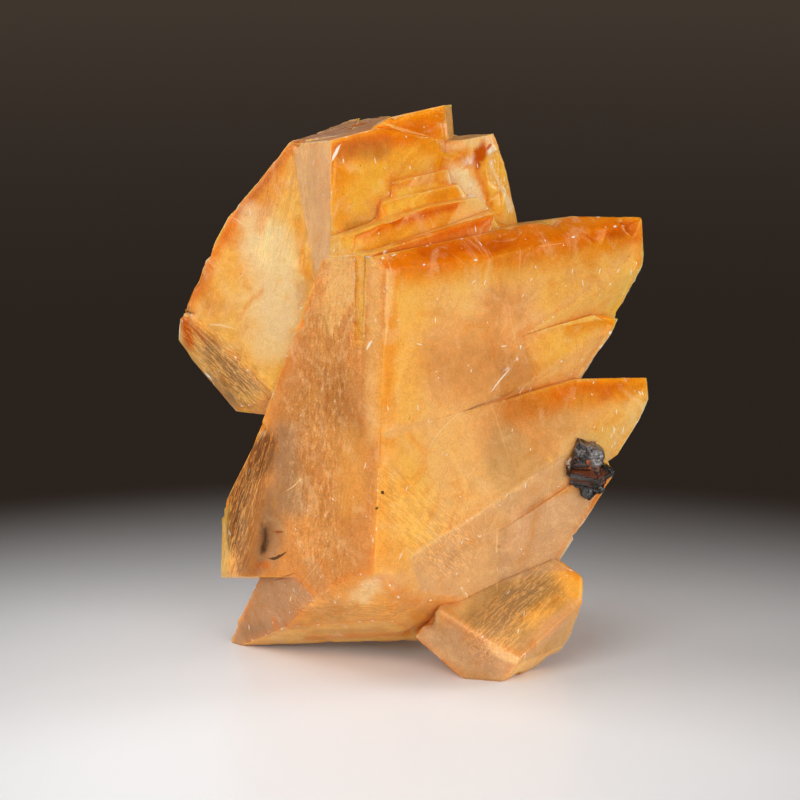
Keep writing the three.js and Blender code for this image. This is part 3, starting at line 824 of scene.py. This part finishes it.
    def melt(self, places, line, reach, rounds, edges_too):
        """Smooths the shape near a line, so that a step turns into a gentle swell."""
        near = np.nonzero(line_distance(places, line) < reach)[0]
        weight = smooth(line_distance(places[near], line), reach, reach * 0.5)
        weight *= edges_too | ~self.on_edge[near]
        chosen = np.zeros(len(places), bool)
        chosen[near] = True
        ends = self.edges[chosen[self.edges].any(axis=1)]
        share = np.zeros(len(places))
        np.add.at(share, ends.ravel(), 1)
        outward = self.normal[near]
        for _ in range(rounds):
            total = np.zeros_like(places)
            np.add.at(total, ends[:, 0], places[ends[:, 1]])
            np.add.at(total, ends[:, 1], places[ends[:, 0]])
            way = total[near] / share[near][:, None] - places[near]
            places[near] += (MELT_PACE * weight * np.sum(way * outward, axis=1))[:, None] * outward

    def chip(self, places, spot, deep, seed, tilt=CHIP_TILT):
        """Breaks a flat chip out of the crystal edge nearest to a spot."""
        edge = self.edge_vertices
        i = edge[np.argmin(np.linalg.norm(self.at[edge] - spot, axis=1))]
        random = np.random.default_rng(seed)
        facing = self.normal[i] + random.normal(0, tilt, 3)
        facing /= np.linalg.norm(facing)
        near = np.nonzero(np.linalg.norm(places - self.at[i], axis=1) < CHIP_REACH + 4 * deep)[0]
        beyond = (places[near] - self.at[i]) @ facing + deep
        places[near] -= np.clip(beyond, 0, None)[:, None] * facing

    def stroke(self, pixels, width, seed, ragged=STROKE_RAGGED):
        """How strongly each point lies in a stroke through these pixels, from 0 to 1."""
        line, facets = self.line(pixels)
        out = np.zeros(len(self.pair_at))
        low, high = line.min(0) - width * 1.5, line.max(0) + width * 1.5
        index = np.nonzero(np.all((self.pair_at > low) & (self.pair_at < high), axis=1))[0]
        away = line_distance(self.pair_at[index], line)
        away += ragged * width * cloud(self.pair_at[index], max(width, STROKE_FINEST), seed)
        narrow = self.narrow[self.pair_facet[index]]
        own = np.where(narrow[:, None], self.normal[self.pair_vertex[index]], self.pair_normal[index])
        facing = np.max(own @ self.facet_normals[facets].T, axis=1)
        out[index] = smooth(away, width, width * STROKE_CORE) * smooth(facing, *STROKE_FACING)
        return out

    def beside(self, line, facets, width):
        """For a thin mark along a line on these facets: how far each point is from it, how far to its
        side in half widths, and how far along it from its middle, where an end is 1."""
        outward = self.facet_normals[facets].mean(axis=0)
        lengths = np.linalg.norm(np.diff(line, axis=0), axis=1)
        half = max(lengths.sum() / 2, width)
        away = np.full(len(self.pair_at), FAR_AWAY)
        side = np.zeros(len(self.pair_at))
        run = np.zeros(len(self.pair_at))
        close = np.linalg.norm(self.pair_at - line.mean(axis=0), axis=1) < half + 2 * MARK_REACH
        index = np.nonzero(close & (self.pair_normal @ outward > MARK_FACING))[0]
        for k, (a, b) in enumerate(zip(line[:-1], line[1:])):
            way = (b - a) / lengths[k]
            across = np.cross(outward, way)
            from_start = self.pair_at[index] - a
            distance = line_distance(self.pair_at[index], line[k : k + 2])
            better = distance < away[index]
            chosen = index[better]
            away[chosen] = distance[better]
            side[chosen] = from_start[better] @ across / width
            run[chosen] = (lengths[:k].sum() + from_start[better] @ way - lengths.sum() / 2) / half
        return away, side, run

    def even(self, values):
        """Gives the points of narrow faces the values of the wide faces beside them."""
        narrow = self.narrow[self.pair_facet]
        total = np.zeros((len(self.at), values.shape[1]))
        np.add.at(total, self.pair_vertex[~narrow], values[~narrow])
        count = np.bincount(self.pair_vertex[~narrow], minlength=len(self.at))
        known = narrow & (count[self.pair_vertex] > 0)
        vertices = self.pair_vertex[known]
        values[known] = total[vertices] / count[vertices][:, None]

    def scatter(self, seed, count, half_lengths, lean):
        """Short straight lines on the surface, all round, that run up their faces, more or less."""
        random = np.random.default_rng(seed)
        out = []
        for i in random.integers(0, len(self.pair_at), count):
            normal = self.pair_normal[i]
            way = UP - (UP @ normal) * normal + random.normal(0, lean, 3)
            way -= (way @ normal) * normal
            way *= random.uniform(*half_lengths) / np.linalg.norm(way)
            out.append((arr([self.pair_at[i] - way, self.pair_at[i] + way]), [self.pair_facet[i]]))
        return out

    def glints(self, seed, count):
        """Short lines along the outward crystal edges."""
        random = np.random.default_rng(seed)
        out = []
        for i in random.integers(0, len(self.edge_points) - 1, count):
            a, b = self.edge_points[i], self.edge_points[i + 1]
            _, _, index, _ = self.tree.find_nearest(Vector(a))
            if np.linalg.norm(b - a) < EDGE_GAP:
                out.append((arr([a, a + (b - a) * random.uniform(*GLINT_LENGTH)]), [self.tree_facets[index]]))
        return out

    def fill_in(self, places, pixels, face_pixel, reach, share):
        """Brings the floor of a groove up by a share of its depth below a face beside it."""
        point, facet = self.spot(*face_pixel)
        outward = self.facet_normals[facet]
        line, _ = self.line(pixels)
        deep = np.clip((point - places) @ outward, 0, None) * (line_distance(places, line) < reach)
        places += share * deep[:, None] * outward

    def patch(self, corners):
        """1 for the points inside a flat outline through these pixels, and 0 elsewhere."""
        spots = [self.spot(u, v) for u, v in corners]
        outline = arr([p for p, _ in spots])
        facing = self.facet_normals[[f for _, f in spots]].mean(axis=0)
        facing /= np.linalg.norm(facing)
        right = np.cross(UP, facing)
        right /= np.linalg.norm(right)
        frame_2d = np.c_[right, np.cross(facing, right)]
        flat = outline @ frame_2d
        places = self.pair_at @ frame_2d
        inside = np.zeros(len(places), bool)
        for (x0, y0), (x1, y1) in zip(flat, np.roll(flat, -1, axis=0)):
            spans = (places[:, 1] < y0) != (places[:, 1] < y1)
            crossing = x0 + (places[:, 1] - y0) * (x1 - x0) / (y1 - y0 or TINY)
            inside ^= spans & (places[:, 0] < crossing)
        level = np.abs((self.pair_at - outline.mean(axis=0)) @ facing) < PATCH_DEPTH
        return inside & level & (self.pair_normal @ facing > PATCH_FACING)


class Coat:
    """The tones and traits of a surface, laid over one another."""

    def __init__(self, surface, tone):
        self.paint = np.tile(linear(tone), (len(surface.pair_at), 1))
        self.traits = np.zeros((len(surface.pair_at), 4))

    def lay(self, tone, mask):
        self.paint += (linear(tone) - self.paint) * np.clip(mask, 0, 1)[:, None]

    def raise_trait(self, channel, value, mask):
        self.traits[:, channel] = np.maximum(self.traits[:, channel], value * mask)


def shape_calcite(surface):
    """The points after growth and wear: steps that have grown over, worn and chipped edges, low
    terraces at the back and gentle unevenness."""
    at = surface.at.copy()
    for reach, rounds, edges_too, *pixels in rows(SWELLS):
        surface.melt(at, surface.line(pixels)[0], reach, rounds, edges_too)
    surface.fill_in(at, GROOVE_LINE, GROOVE_FACE, GROOVE_REACH, GROOVE_FILLED)
    for i, (u, v, deep) in enumerate(rows(CHIPS)):
        surface.chip(at, surface.spot(u, v)[0], deep, CHIP_SEED + i)
    random = np.random.default_rng(CHIP_SEED)
    for i in random.integers(0, len(surface.edge_points), SMALL_CHIPS):
        deep = random.uniform(*SMALL_CHIP_DEPTH)
        surface.chip(at, surface.edge_points[i], deep, SMALL_CHIP_SEED + int(i))
    depth = 0.05 * cloud(at, 6, RELIEF_SEED) + 0.02 * noise(at, 1.2, RELIEF_SEED + 3)
    behind = smooth(surface.normal @ arr(FORWARD), -0.05, 0.1)
    level = np.floor(4 * cloud(at * (1, 1, 0.45), 11, RELIEF_SEED + 9)) + 0.5
    depth += TERRACE * behind * level
    depth -= surface.on_edge * EDGE_WEAR * (1 + 0.7 * noise(at, 1.5, RELIEF_SEED + 5))
    return at + surface.normal * depth[:, None]


def varied_faces(surface):
    """For each point a tone's number, a frost and a streak, which differ from face to face."""
    random = np.random.default_rng(HIDDEN_SEED)
    count = len(surface.facet_normals)
    tone = random.integers(0, len(HIDDEN_TONES), count)
    frost = random.uniform(*HIDDEN_FROST, count)
    streak = random.uniform(*HIDDEN_STREAK, count)
    return [values[surface.pair_facet] for values in (tone, frost, streak)]


def coat_calcite(surface):
    """The calcite's tones and traits, and the places that the pattern of its strands reads."""
    coat = Coat(surface, "gold")
    at = surface.pair_at
    coat.lay("peach", smooth(cloud(at, 26, 3), -0.2, 0.4))
    for tone, strength, *pixels in rows(FILLS):
        facets = [surface.spot(u, v)[1] for u, v in pixels]
        coat.lay(tone, strength * np.isin(surface.pair_facet, facets))
    for i, (tone, strength, width, *pixels) in enumerate(rows(STROKES)):
        coat.lay(tone, strength * surface.stroke(pixels, width, STROKE_SEED + i))

    # Faces out of the photograph's sight differ from each other like the ones in it, with amber rims.
    hidden = surface.facet_normals[surface.pair_facet] @ arr(FORWARD) > -0.05
    face_tone, face_frost, face_streak = varied_faces(surface)
    for i, tone in enumerate(HIDDEN_TONES):
        coat.lay(tone, 0.8 * (hidden & (face_tone == i)))
    coat.lay("brown", 0.45 * hidden * smooth(cloud(at, 15, 81), 0.1, 0.6))
    coat.lay("cream", 0.5 * hidden * smooth(cloud(at * (1, 1, 0.6), 9, 83), 0.15, 0.6))
    from_edge = surface.edge_distance()
    rim = from_edge + 1.0 * cloud(at, 5, 85) + 3.5 * noise(at, 24, 89)
    coat.lay("amber", 0.65 * hidden * smooth(rim, 6.5, 1.5))
    coat.lay("orange", 0.65 * hidden * smooth(rim, 3.2, 0.4))

    # Edges are more orange, as the crystal's colour is zoned there. Thin places are more orange too, partly
    # from that zoning and partly as painted glow where light shines through them. No tone is quite even.
    thickness = surface.thickness()
    coat.lay("orange", 0.3 * smooth(from_edge + 0.6 * cloud(at, 3, 91), 1.6, 0.2))
    coat.lay("amber", 0.5 * smooth(thickness + 0.7 * cloud(at, 4, 41), 10, 1))
    coat.lay("orange", 0.7 * smooth(thickness + 0.5 * cloud(at, 3, 43), 4, 0.3))
    coat.paint *= (1 + 0.07 * cloud(at, 12, 51, 4))[:, None]
    coat.paint[:, 1] *= 1 + 0.025 * cloud(at, 7, 57, 4)

    uneven_frost = face_frost * (0.7 + 0.5 * cloud(at, 10, 87))
    coat.traits[:, CLEARNESS] = np.where(hidden, 0.10, 0.20) + 0.08 * cloud(at, 12, 61)
    coat.traits[:, CLEARNESS] *= smooth(thickness, 0.5, 9)
    coat.traits[:, FROSTING] = np.where(hidden, uneven_frost, 0.20)
    coat.traits[:, STREAKS] = np.where(hidden, face_streak, 0.03)
    for channel, table, seed in ((CLEARNESS, CLEAR, CLEAR_SEED), (FROSTING, FROST, FROST_SEED)):
        for i, (value, width, *pixels) in enumerate(rows(table)):
            coat.raise_trait(channel, value, surface.stroke(pixels, width, seed + i))
    weave = lay_strands(surface, coat)

    for tone, strength, *corners in rows(PATCHES):
        coat.lay(tone, strength * surface.patch(corners))
    surface.even(coat.paint)
    surface.even(coat.traits)
    return coat, weave


def lay_strands(surface, coat):
    """Strands run up each face unless a stroke says otherwise. Their pattern is drawn out lengthwise,
    so it reads places that are pushed together along them."""
    normal = surface.pair_normal
    along = UP - (normal @ UP)[:, None] * normal
    along[np.linalg.norm(along, axis=1) < 0.1] = (1, 0, 0)
    along /= np.linalg.norm(along, axis=1)[:, None]
    for i, (value, width, *pixels) in enumerate(rows(STRANDS)):
        mask = surface.stroke(pixels, width, STRAND_SEED + i, ragged=0.1)
        coat.raise_trait(STREAKS, value, mask)
        line, _ = surface.line(pixels)
        direction = line[-1] - line[0]
        along[mask > 0] = direction / np.linalg.norm(direction)
    run = np.sum(surface.pair_at * along, axis=1)
    return surface.pair_at - STRAND_DRAWN * run[:, None] * along


def marks_and_glints(surface):
    """Every thin mark and painted glint: tone, strength, half width, line and facets."""
    for tone, strength, width, *pixels in rows(MARKS_AND_GLINTS):
        yield tone, strength, width, *surface.line(pixels)
    for i, (tone, strength, width, count, half_lengths, lean) in enumerate(SCATTERED.values()):
        for line, facets in surface.scatter(MARK_SEED + i, count, half_lengths, lean):
            yield tone, strength, width, line, facets
    tone, strength, width, count = EDGE_GLINTS
    for line, facets in surface.glints(GLINT_SEED, count):
        yield tone, strength, width, line, facets


def thin_marks_and_glints(surface):
    """Each point's place beside its nearest mark, so that the material draws the mark sharp, and the
    tone and strength of that mark. The third number is 1 where no second mark comes close."""
    places = np.zeros((len(surface.pair_at), 3))
    tones = np.zeros((len(surface.pair_at), 4))
    nearest = np.full(len(surface.pair_at), FAR_AWAY)
    second = nearest.copy()
    for tone, strength, width, line, facets in marks_and_glints(surface):
        away, side, run = surface.beside(line, facets, width)
        closer = away < nearest
        second = np.where(closer, nearest, np.minimum(second, away))
        nearest = np.where(closer, away, nearest)
        places[closer, 0] = side[closer]
        places[closer, 1] = run[closer]
        tones[closer] = (*linear(tone), strength)
    places[:, 2] = (nearest < MARK_REACH) & (nearest < 0.6 * second)
    return places, tones


def finish_piece(surface, places, coat, **others):
    """The piece, once its mesh has the moved points, the attributes and the shading normals."""
    mesh = surface.mesh
    mesh.vertices.foreach_set("co", (places * MM).ravel())
    tones = np.c_[np.clip(coat.paint, 0, 1), np.ones(len(coat.paint))]
    for name, values in {"tone": tones, "traits": np.clip(coat.traits, 0, 1), **others}.items():
        kind, field = ATTRIBUTE_KINDS[values.shape[1]]
        attribute = mesh.attributes.new(name, kind, "CORNER")
        attribute.data.foreach_set(field, values[surface.pair_of_corner].astype(np.float32).ravel())
    mesh.polygons.foreach_set("use_smooth", np.ones(len(mesh.polygons), bool))
    mesh.update()
    mesh.normals_split_custom_set(surface.corner_normals(places))
    piece = placed(mesh.name, mesh)
    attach(piece, "root")
    return piece


def shape_sphalerite(surface):
    """The points after breaking: chips all over, blocky levels, and nothing beyond the solid's size."""
    at = surface.at.copy()
    random = np.random.default_rng(BLENDE_SEED)
    for i in random.integers(0, len(surface.edge_points), BLENDE_BREAKS):
        deep = random.uniform(*BLENDE_BREAK_DEPTH)
        surface.chip(at, surface.edge_points[i], deep, BLENDE_SEED + int(i), BLENDE_TILT)
    level = np.round(2.5 * cloud(at, 1.6, BLENDE_SEED, 2)) / 2.5
    at += surface.normal * (0.28 * level + 0.08 * noise(at, 0.5, 3))[:, None]
    return np.clip(at, surface.at.min(axis=0), surface.at.max(axis=0))


def coat_sphalerite(surface):
    """Black, with reddish flecks, a silvery side whose rims have painted highlights, and brown streaks."""
    coat = Coat(surface, "black")
    coat.lay("liver", smooth(cloud(surface.pair_at, 1.3, 5), 0.15, 0.45))
    broken = smooth(noise(surface.pair_at, 0.5, 9), -0.6, 0.1)
    for tone, metal, width, *pixels in rows(BLENDE_STROKES):
        mask = surface.stroke(pixels, width, BLENDE_STROKE_SEED, ragged=0.8) * broken
        coat.lay(tone, mask)
        coat.raise_trait(METAL, metal, mask)
    return coat


class Nodes:
    """Short ways to add nodes to a material."""

    def __init__(self, name):
        self.material = bpy.data.materials.new(name)
        self.material.use_nodes = True
        self.tree = self.material.node_tree
        self.shader = self.tree.nodes["Principled BSDF"]
        self.output = self.tree.nodes["Material Output"]

    def add(self, kind, inputs=None, **settings):
        node = self.tree.nodes.new("ShaderNode" + kind)
        for key, value in settings.items():
            setattr(node, key, value)
        for key, value in (inputs or {}).items():
            self.put(value, node.inputs[key])
        return node

    def put(self, value, socket):
        if isinstance(value, bpy.types.NodeSocket):
            self.tree.links.new(value, socket)
        else:
            socket.default_value = value

    def dress(self, inputs):
        """Sets the shader's inputs."""
        for name, value in inputs.items():
            self.put(value, self.shader.inputs[name])

    def math(self, operation, a, b=0.0, c=0.0, clamp=False):
        node = self.add("Math", {0: a, 1: b, 2: c}, operation=operation, use_clamp=clamp)
        return node.outputs[0]

    def product(self, first, *others):
        for other in others:
            first = self.math("MULTIPLY", first, other)
        return first

    def fit(self, value, factor, base):
        """The value times a factor, plus a base."""
        return self.math("MULTIPLY_ADD", value, factor, base)

    def ramp(self, value, low, high, to_low=0.0, to_high=1.0):
        inputs = {"Value": value, "From Min": low, "From Max": high, "To Min": to_low, "To Max": to_high}
        return self.add("MapRange", inputs, interpolation_type="SMOOTHSTEP").outputs["Result"]

    def mix(self, factor, a, b, blend="MIX"):
        node = self.add("Mix", {"Factor": factor}, data_type="RGBA", blend_type=blend)
        self.put(a, node.inputs[6])
        self.put(b, node.inputs[7])
        return node.outputs[2]

    def shaded(self, colour, value):
        """The colour times a value."""
        grey = self.add("CombineColor", {0: value, 1: value, 2: value}).outputs[0]
        return self.mix(1.0, colour, grey, "MULTIPLY")

    def noise(self, place, scale, detail, roughness=0.5, twist=0.0):
        inputs = {"Vector": place, "Scale": scale, "Detail": detail, "Roughness": roughness}
        return self.add("TexNoise", {**inputs, "Distortion": twist}).outputs[0]

    def stretched(self, place, factors):
        return self.add("VectorMath", {0: place, 1: factors}, operation="MULTIPLY").outputs[0]

    def in_mm(self):
        """The place on the piece in millimetres."""
        place = self.add("TexCoord").outputs["Object"]
        node = self.add("VectorMath", {0: place, "Scale": 1 / MM}, operation="SCALE")
        return node.outputs[0]

    def attribute(self, name):
        return self.add("Attribute", attribute_name=name).outputs

    def channels(self, colour):
        return self.add("SeparateColor", {0: colour}).outputs

    def bump(self, height):
        return self.add("Bump", {"Strength": 1.0, "Distance": MM, "Height": height}).outputs["Normal"]


def rgba(tone):
    return (*[float(x) for x in linear(tone)], 1)


def calcite_material():
    n = Nodes("calcite")
    place = n.in_mm()
    clear, frost, streaked = n.channels(n.attribute("traits")["Color"])[:3]
    frost_twice = n.product(frost, frost)
    strand_place = n.attribute("weave")["Vector"]

    # Fine mottling, and grains that show most where the surface is frosted.
    mottle = n.noise(place, 0.45, 4, 0.6)
    grain = n.noise(place, 2.6, 3, 0.65)
    grainy = n.ramp(grain, 0.3, 0.7, -0.16, 0.16)
    value = n.fit(grainy, n.fit(frost, 0.9, 0.12), n.ramp(mottle, 0.3, 0.7, 0.95, 1.05))
    colour = n.shaded(n.attribute("tone")["Color"], value)

    # Cleavage: flat inner faces a little lighter or darker than their neighbours.
    blocks = n.stretched(place, (1.0, 0.8, 0.5))
    for scale, amount in ((0.085, 0.035), (0.21, 0.03)):
        block = n.add("TexVoronoi", {"Vector": blocks, "Scale": scale})
        shade = n.channels(block.outputs["Color"])[0]
        colour = n.shaded(colour, n.ramp(shade, 0.0, 1.0, 1 - amount, 1 + amount))

    # Veils: wispy pale and amber clouds within the crystal.
    veil = n.noise(place, 0.13, 7, 0.68, 1.6)
    colour = n.mix(n.ramp(veil, 0.52, 0.66, 0.0, 0.28), colour, rgba("cream"))
    colour = n.mix(n.ramp(veil, 0.48, 0.34, 0.0, 0.6), colour, AMBER_VEIL, "MULTIPLY")

    # Strands: thin pale and brown lines that follow the weave.
    strand = n.noise(strand_place, 1.7, 4, 0.65)
    pale = n.ramp(n.math("ABSOLUTE", n.math("SUBTRACT", strand, 0.53)), 0.06, 0.0)
    brown = n.ramp(n.noise(strand_place, 0.8, 3, 0.6), 0.55, 0.66)
    pale_strand = n.product(pale, streaked)
    colour = n.mix(n.product(pale_strand, 0.6), colour, rgba("bright"))
    colour = n.mix(n.product(brown, streaked, 0.35), colour, rgba("brown"))

    # Flecks, pale and brown, drawn out upwards, and fine dust.
    fleck = n.noise(n.stretched(place, (1.0, 1.0, 0.45)), 1.5, 5, 0.75)
    pale_fleck = n.product(n.ramp(fleck, 0.52, 0.72), frost_twice, 0.9)
    colour = n.mix(pale_fleck, colour, rgba("cream"))
    dark_fleck = n.product(n.ramp(fleck, 0.48, 0.28), n.fit(frost, 0.85, 0.10), 0.8)
    colour = n.mix(dark_fleck, colour, BROWN_FLECK, "MULTIPLY")
    colour = n.shaded(colour, n.ramp(n.noise(place, 3.6, 3, 0.7), 0.3, 0.7, 0.92, 1.08))

    # Sparkles: small painted glints scattered over the frosted places, white in the colour and with a glossy
    # coat on them.
    cells = n.add("TexVoronoi", {"Vector": place, "Scale": 0.9, "Randomness": 1.0}).outputs
    chosen = n.channels(cells["Color"])
    size = n.ramp(chosen[1], 0.0, 1.0, 0.05, 0.13)
    dot = n.math("MULTIPLY", n.math("SUBTRACT", size, cells["Distance"]), 25.0, clamp=True)
    picked = n.ramp(n.fit(frost, 0.35, chosen[0]), 0.86, 0.90)
    sparkle = n.product(dot, picked, 0.8)
    colour = n.mix(sparkle, colour, rgba("white"))

    # Thin marks and painted glints, drawn from each point's place beside them, a little ragged and pointed at
    # the ends.
    mark = n.add("SeparateXYZ", {0: n.attribute("mark_place")["Vector"]}).outputs
    mark_tone = n.attribute("mark_tone")
    wobble = n.fit(n.noise(place, 1.6, 3, 0.6), 1.6, -0.8)
    off = n.math("ABSOLUTE", n.math("ADD", mark["X"], wobble))
    end = n.math("POWER", n.math("ABSOLUTE", mark["Y"]), 2.0)
    line = n.ramp(n.fit(end, 0.9, off), 1.15, 0.75)
    line = n.product(line, n.math("GREATER_THAN", mark["Z"], 0.95), mark_tone["Alpha"])
    colour = n.mix(line, colour, mark_tone["Color"])

    # Relief too fine for the mesh.
    height = n.product(n.noise(place, 0.35, 2), 0.16)
    for part, amount in (
        (n.product(grain, frost), 0.10),
        (n.product(fleck, frost_twice), 0.34),
        (n.product(strand, streaked), 0.08),
    ):
        height = n.fit(part, amount, height)

    n.dress({
        "Base Color": colour,
        "Normal": n.bump(height),
        "Roughness": n.fit(mottle, 0.10, n.fit(frost, 0.36, 0.10)),
        "Transmission Weight": n.math("SUBTRACT", clear, n.product(pale_strand, 0.5), clamp=True),
        "IOR": 1.6,
        "Specular IOR Level": 0.10,
        "Specular Tint": GOLDEN_SHINE,
        "Coat Weight": n.product(sparkle, 0.9),
        "Coat Roughness": 0.15,
        "Subsurface Weight": 1.0,
        "Subsurface Radius": (1.0, 0.90, 0.72),
        "Subsurface Scale": 0.0045,
    })
    absorb = n.add("VolumeAbsorption", {"Color": GOLDEN_DEPTH, "Density": 25})
    n.put(absorb.outputs["Volume"], n.output.inputs["Volume"])
    return n.material


def sphalerite_material():
    n = Nodes("sphalerite")
    place = n.in_mm()
    lines = n.noise(n.stretched(place, (0.5, 0.5, 3.2)), 1.0, 2, 0.6)
    grain = n.noise(place, 2.4, 3, 0.6)
    n.dress({
        "Base Color": n.attribute("tone")["Color"],
        "Metallic": n.channels(n.attribute("traits")["Color"])[METAL],
        "Roughness": n.ramp(grain, 0.3, 0.7, 0.12, 0.36),
        "Normal": n.bump(n.fit(lines, 0.16, n.product(grain, 0.12))),
        "IOR": 1.8,
        "Specular IOR Level": 0.3,
    })
    return n.material


def stage_floor():
    """A floor with a painted pool of light that fades into the dark, where a faint painted glow stands in for
    a lit backdrop.
    """
    bm = bmesh.new()
    bmesh.ops.create_circle(bm, cap_ends=True, segments=96, radius=FLOOR_RADIUS)
    data = bpy.data.meshes.new("floor")
    bm.to_mesh(data)
    bm.free()
    floor = placed("floor", data)
    n = Nodes("floor")
    place = n.add("TexCoord").outputs["Object"]
    beside = n.add("VectorMath", {0: place, 1: FLOOR_CENTRE}, operation="SUBTRACT").outputs[0]
    away = n.add("VectorMath", {0: beside}, operation="LENGTH").outputs["Value"]
    dark = n.ramp(away, *FLOOR_FADE)
    n.dress({
        "Base Color": n.mix(dark, LIT_FLOOR, DARK_FLOOR),
        "Emission Color": n.mix(n.ramp(away, *GLOW_FADE), NEAR_GLOW, FAR_GLOW),
        "Emission Strength": dark,
        "Specular IOR Level": n.fit(dark, -0.2, 0.2),
        "Roughness": 0.35,
    })
    data.materials.append(n.material)


def area_light(name, at, size, power):
    lamp = bpy.data.lights.new(name, "AREA")
    lamp.shape = "RECTANGLE"
    lamp.size, lamp.size_y = size
    lamp.energy = power
    light = placed(name, lamp)
    light.location = at
    light.rotation_euler = (Vector(LIT_POINT) - Vector(at)).to_track_quat("-Z", "Y").to_euler()


def studio_world():
    world = bpy.data.worlds.new("studio")
    bpy.context.scene.world = world
    world.use_nodes = True
    background = world.node_tree.nodes["Background"].inputs
    background["Color"].default_value = ROOM_LIGHT
    background["Strength"].default_value = 1.0
    bpy.context.scene.view_settings.view_transform = "Standard"


def photo_camera():
    """The camera, where the photograph's stood."""
    camera = bpy.data.cameras.new("camera")
    camera.sensor_width = SENSOR_WIDTH
    camera.lens = SENSOR_WIDTH * PIXELS_PER_UNIT / PHOTO_SIDE
    camera.clip_start = 0.01
    stand = placed("camera", camera)
    stand.location = CAMERA_AT * MM
    stand.rotation_euler = (math.pi / 2 - CAMERA_RISE, 0, 0)
    bpy.context.scene.camera = stand


# The calcite. The borders of its patches are sharp, so the mesh is fine along them.
calcite = Surface(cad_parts["calcite"], LOW_STEP)
borders = [calcite.line(corners + corners[:1])[0] for _, _, *corners in rows(PATCHES)]
calcite.make_mesh("calcite_crystals", COARSE_EDGE, borders)
calcite_coat, weave = coat_calcite(calcite)
mark_place, mark_tone = thin_marks_and_glints(calcite)
calcite_piece = finish_piece(
    calcite, shape_calcite(calcite), calcite_coat, weave=weave, mark_place=mark_place, mark_tone=mark_tone
)
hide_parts("calcite")
calcite_piece.data.materials.append(calcite_material())

# The sphalerite.
blende = Surface(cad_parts["sphalerite"])
blende.make_mesh("sphalerite_crystals", BLENDE_EDGE)
blende_piece = finish_piece(blende, shape_sphalerite(blende), coat_sphalerite(blende))
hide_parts("sphalerite")
blende_piece.data.materials.append(sphalerite_material())

# The stage.
stage_floor()
for light_name, (light_at, light_size, light_power) in LIGHTS.items():
    area_light(light_name, light_at, light_size, light_power)
studio_world()
photo_camera()
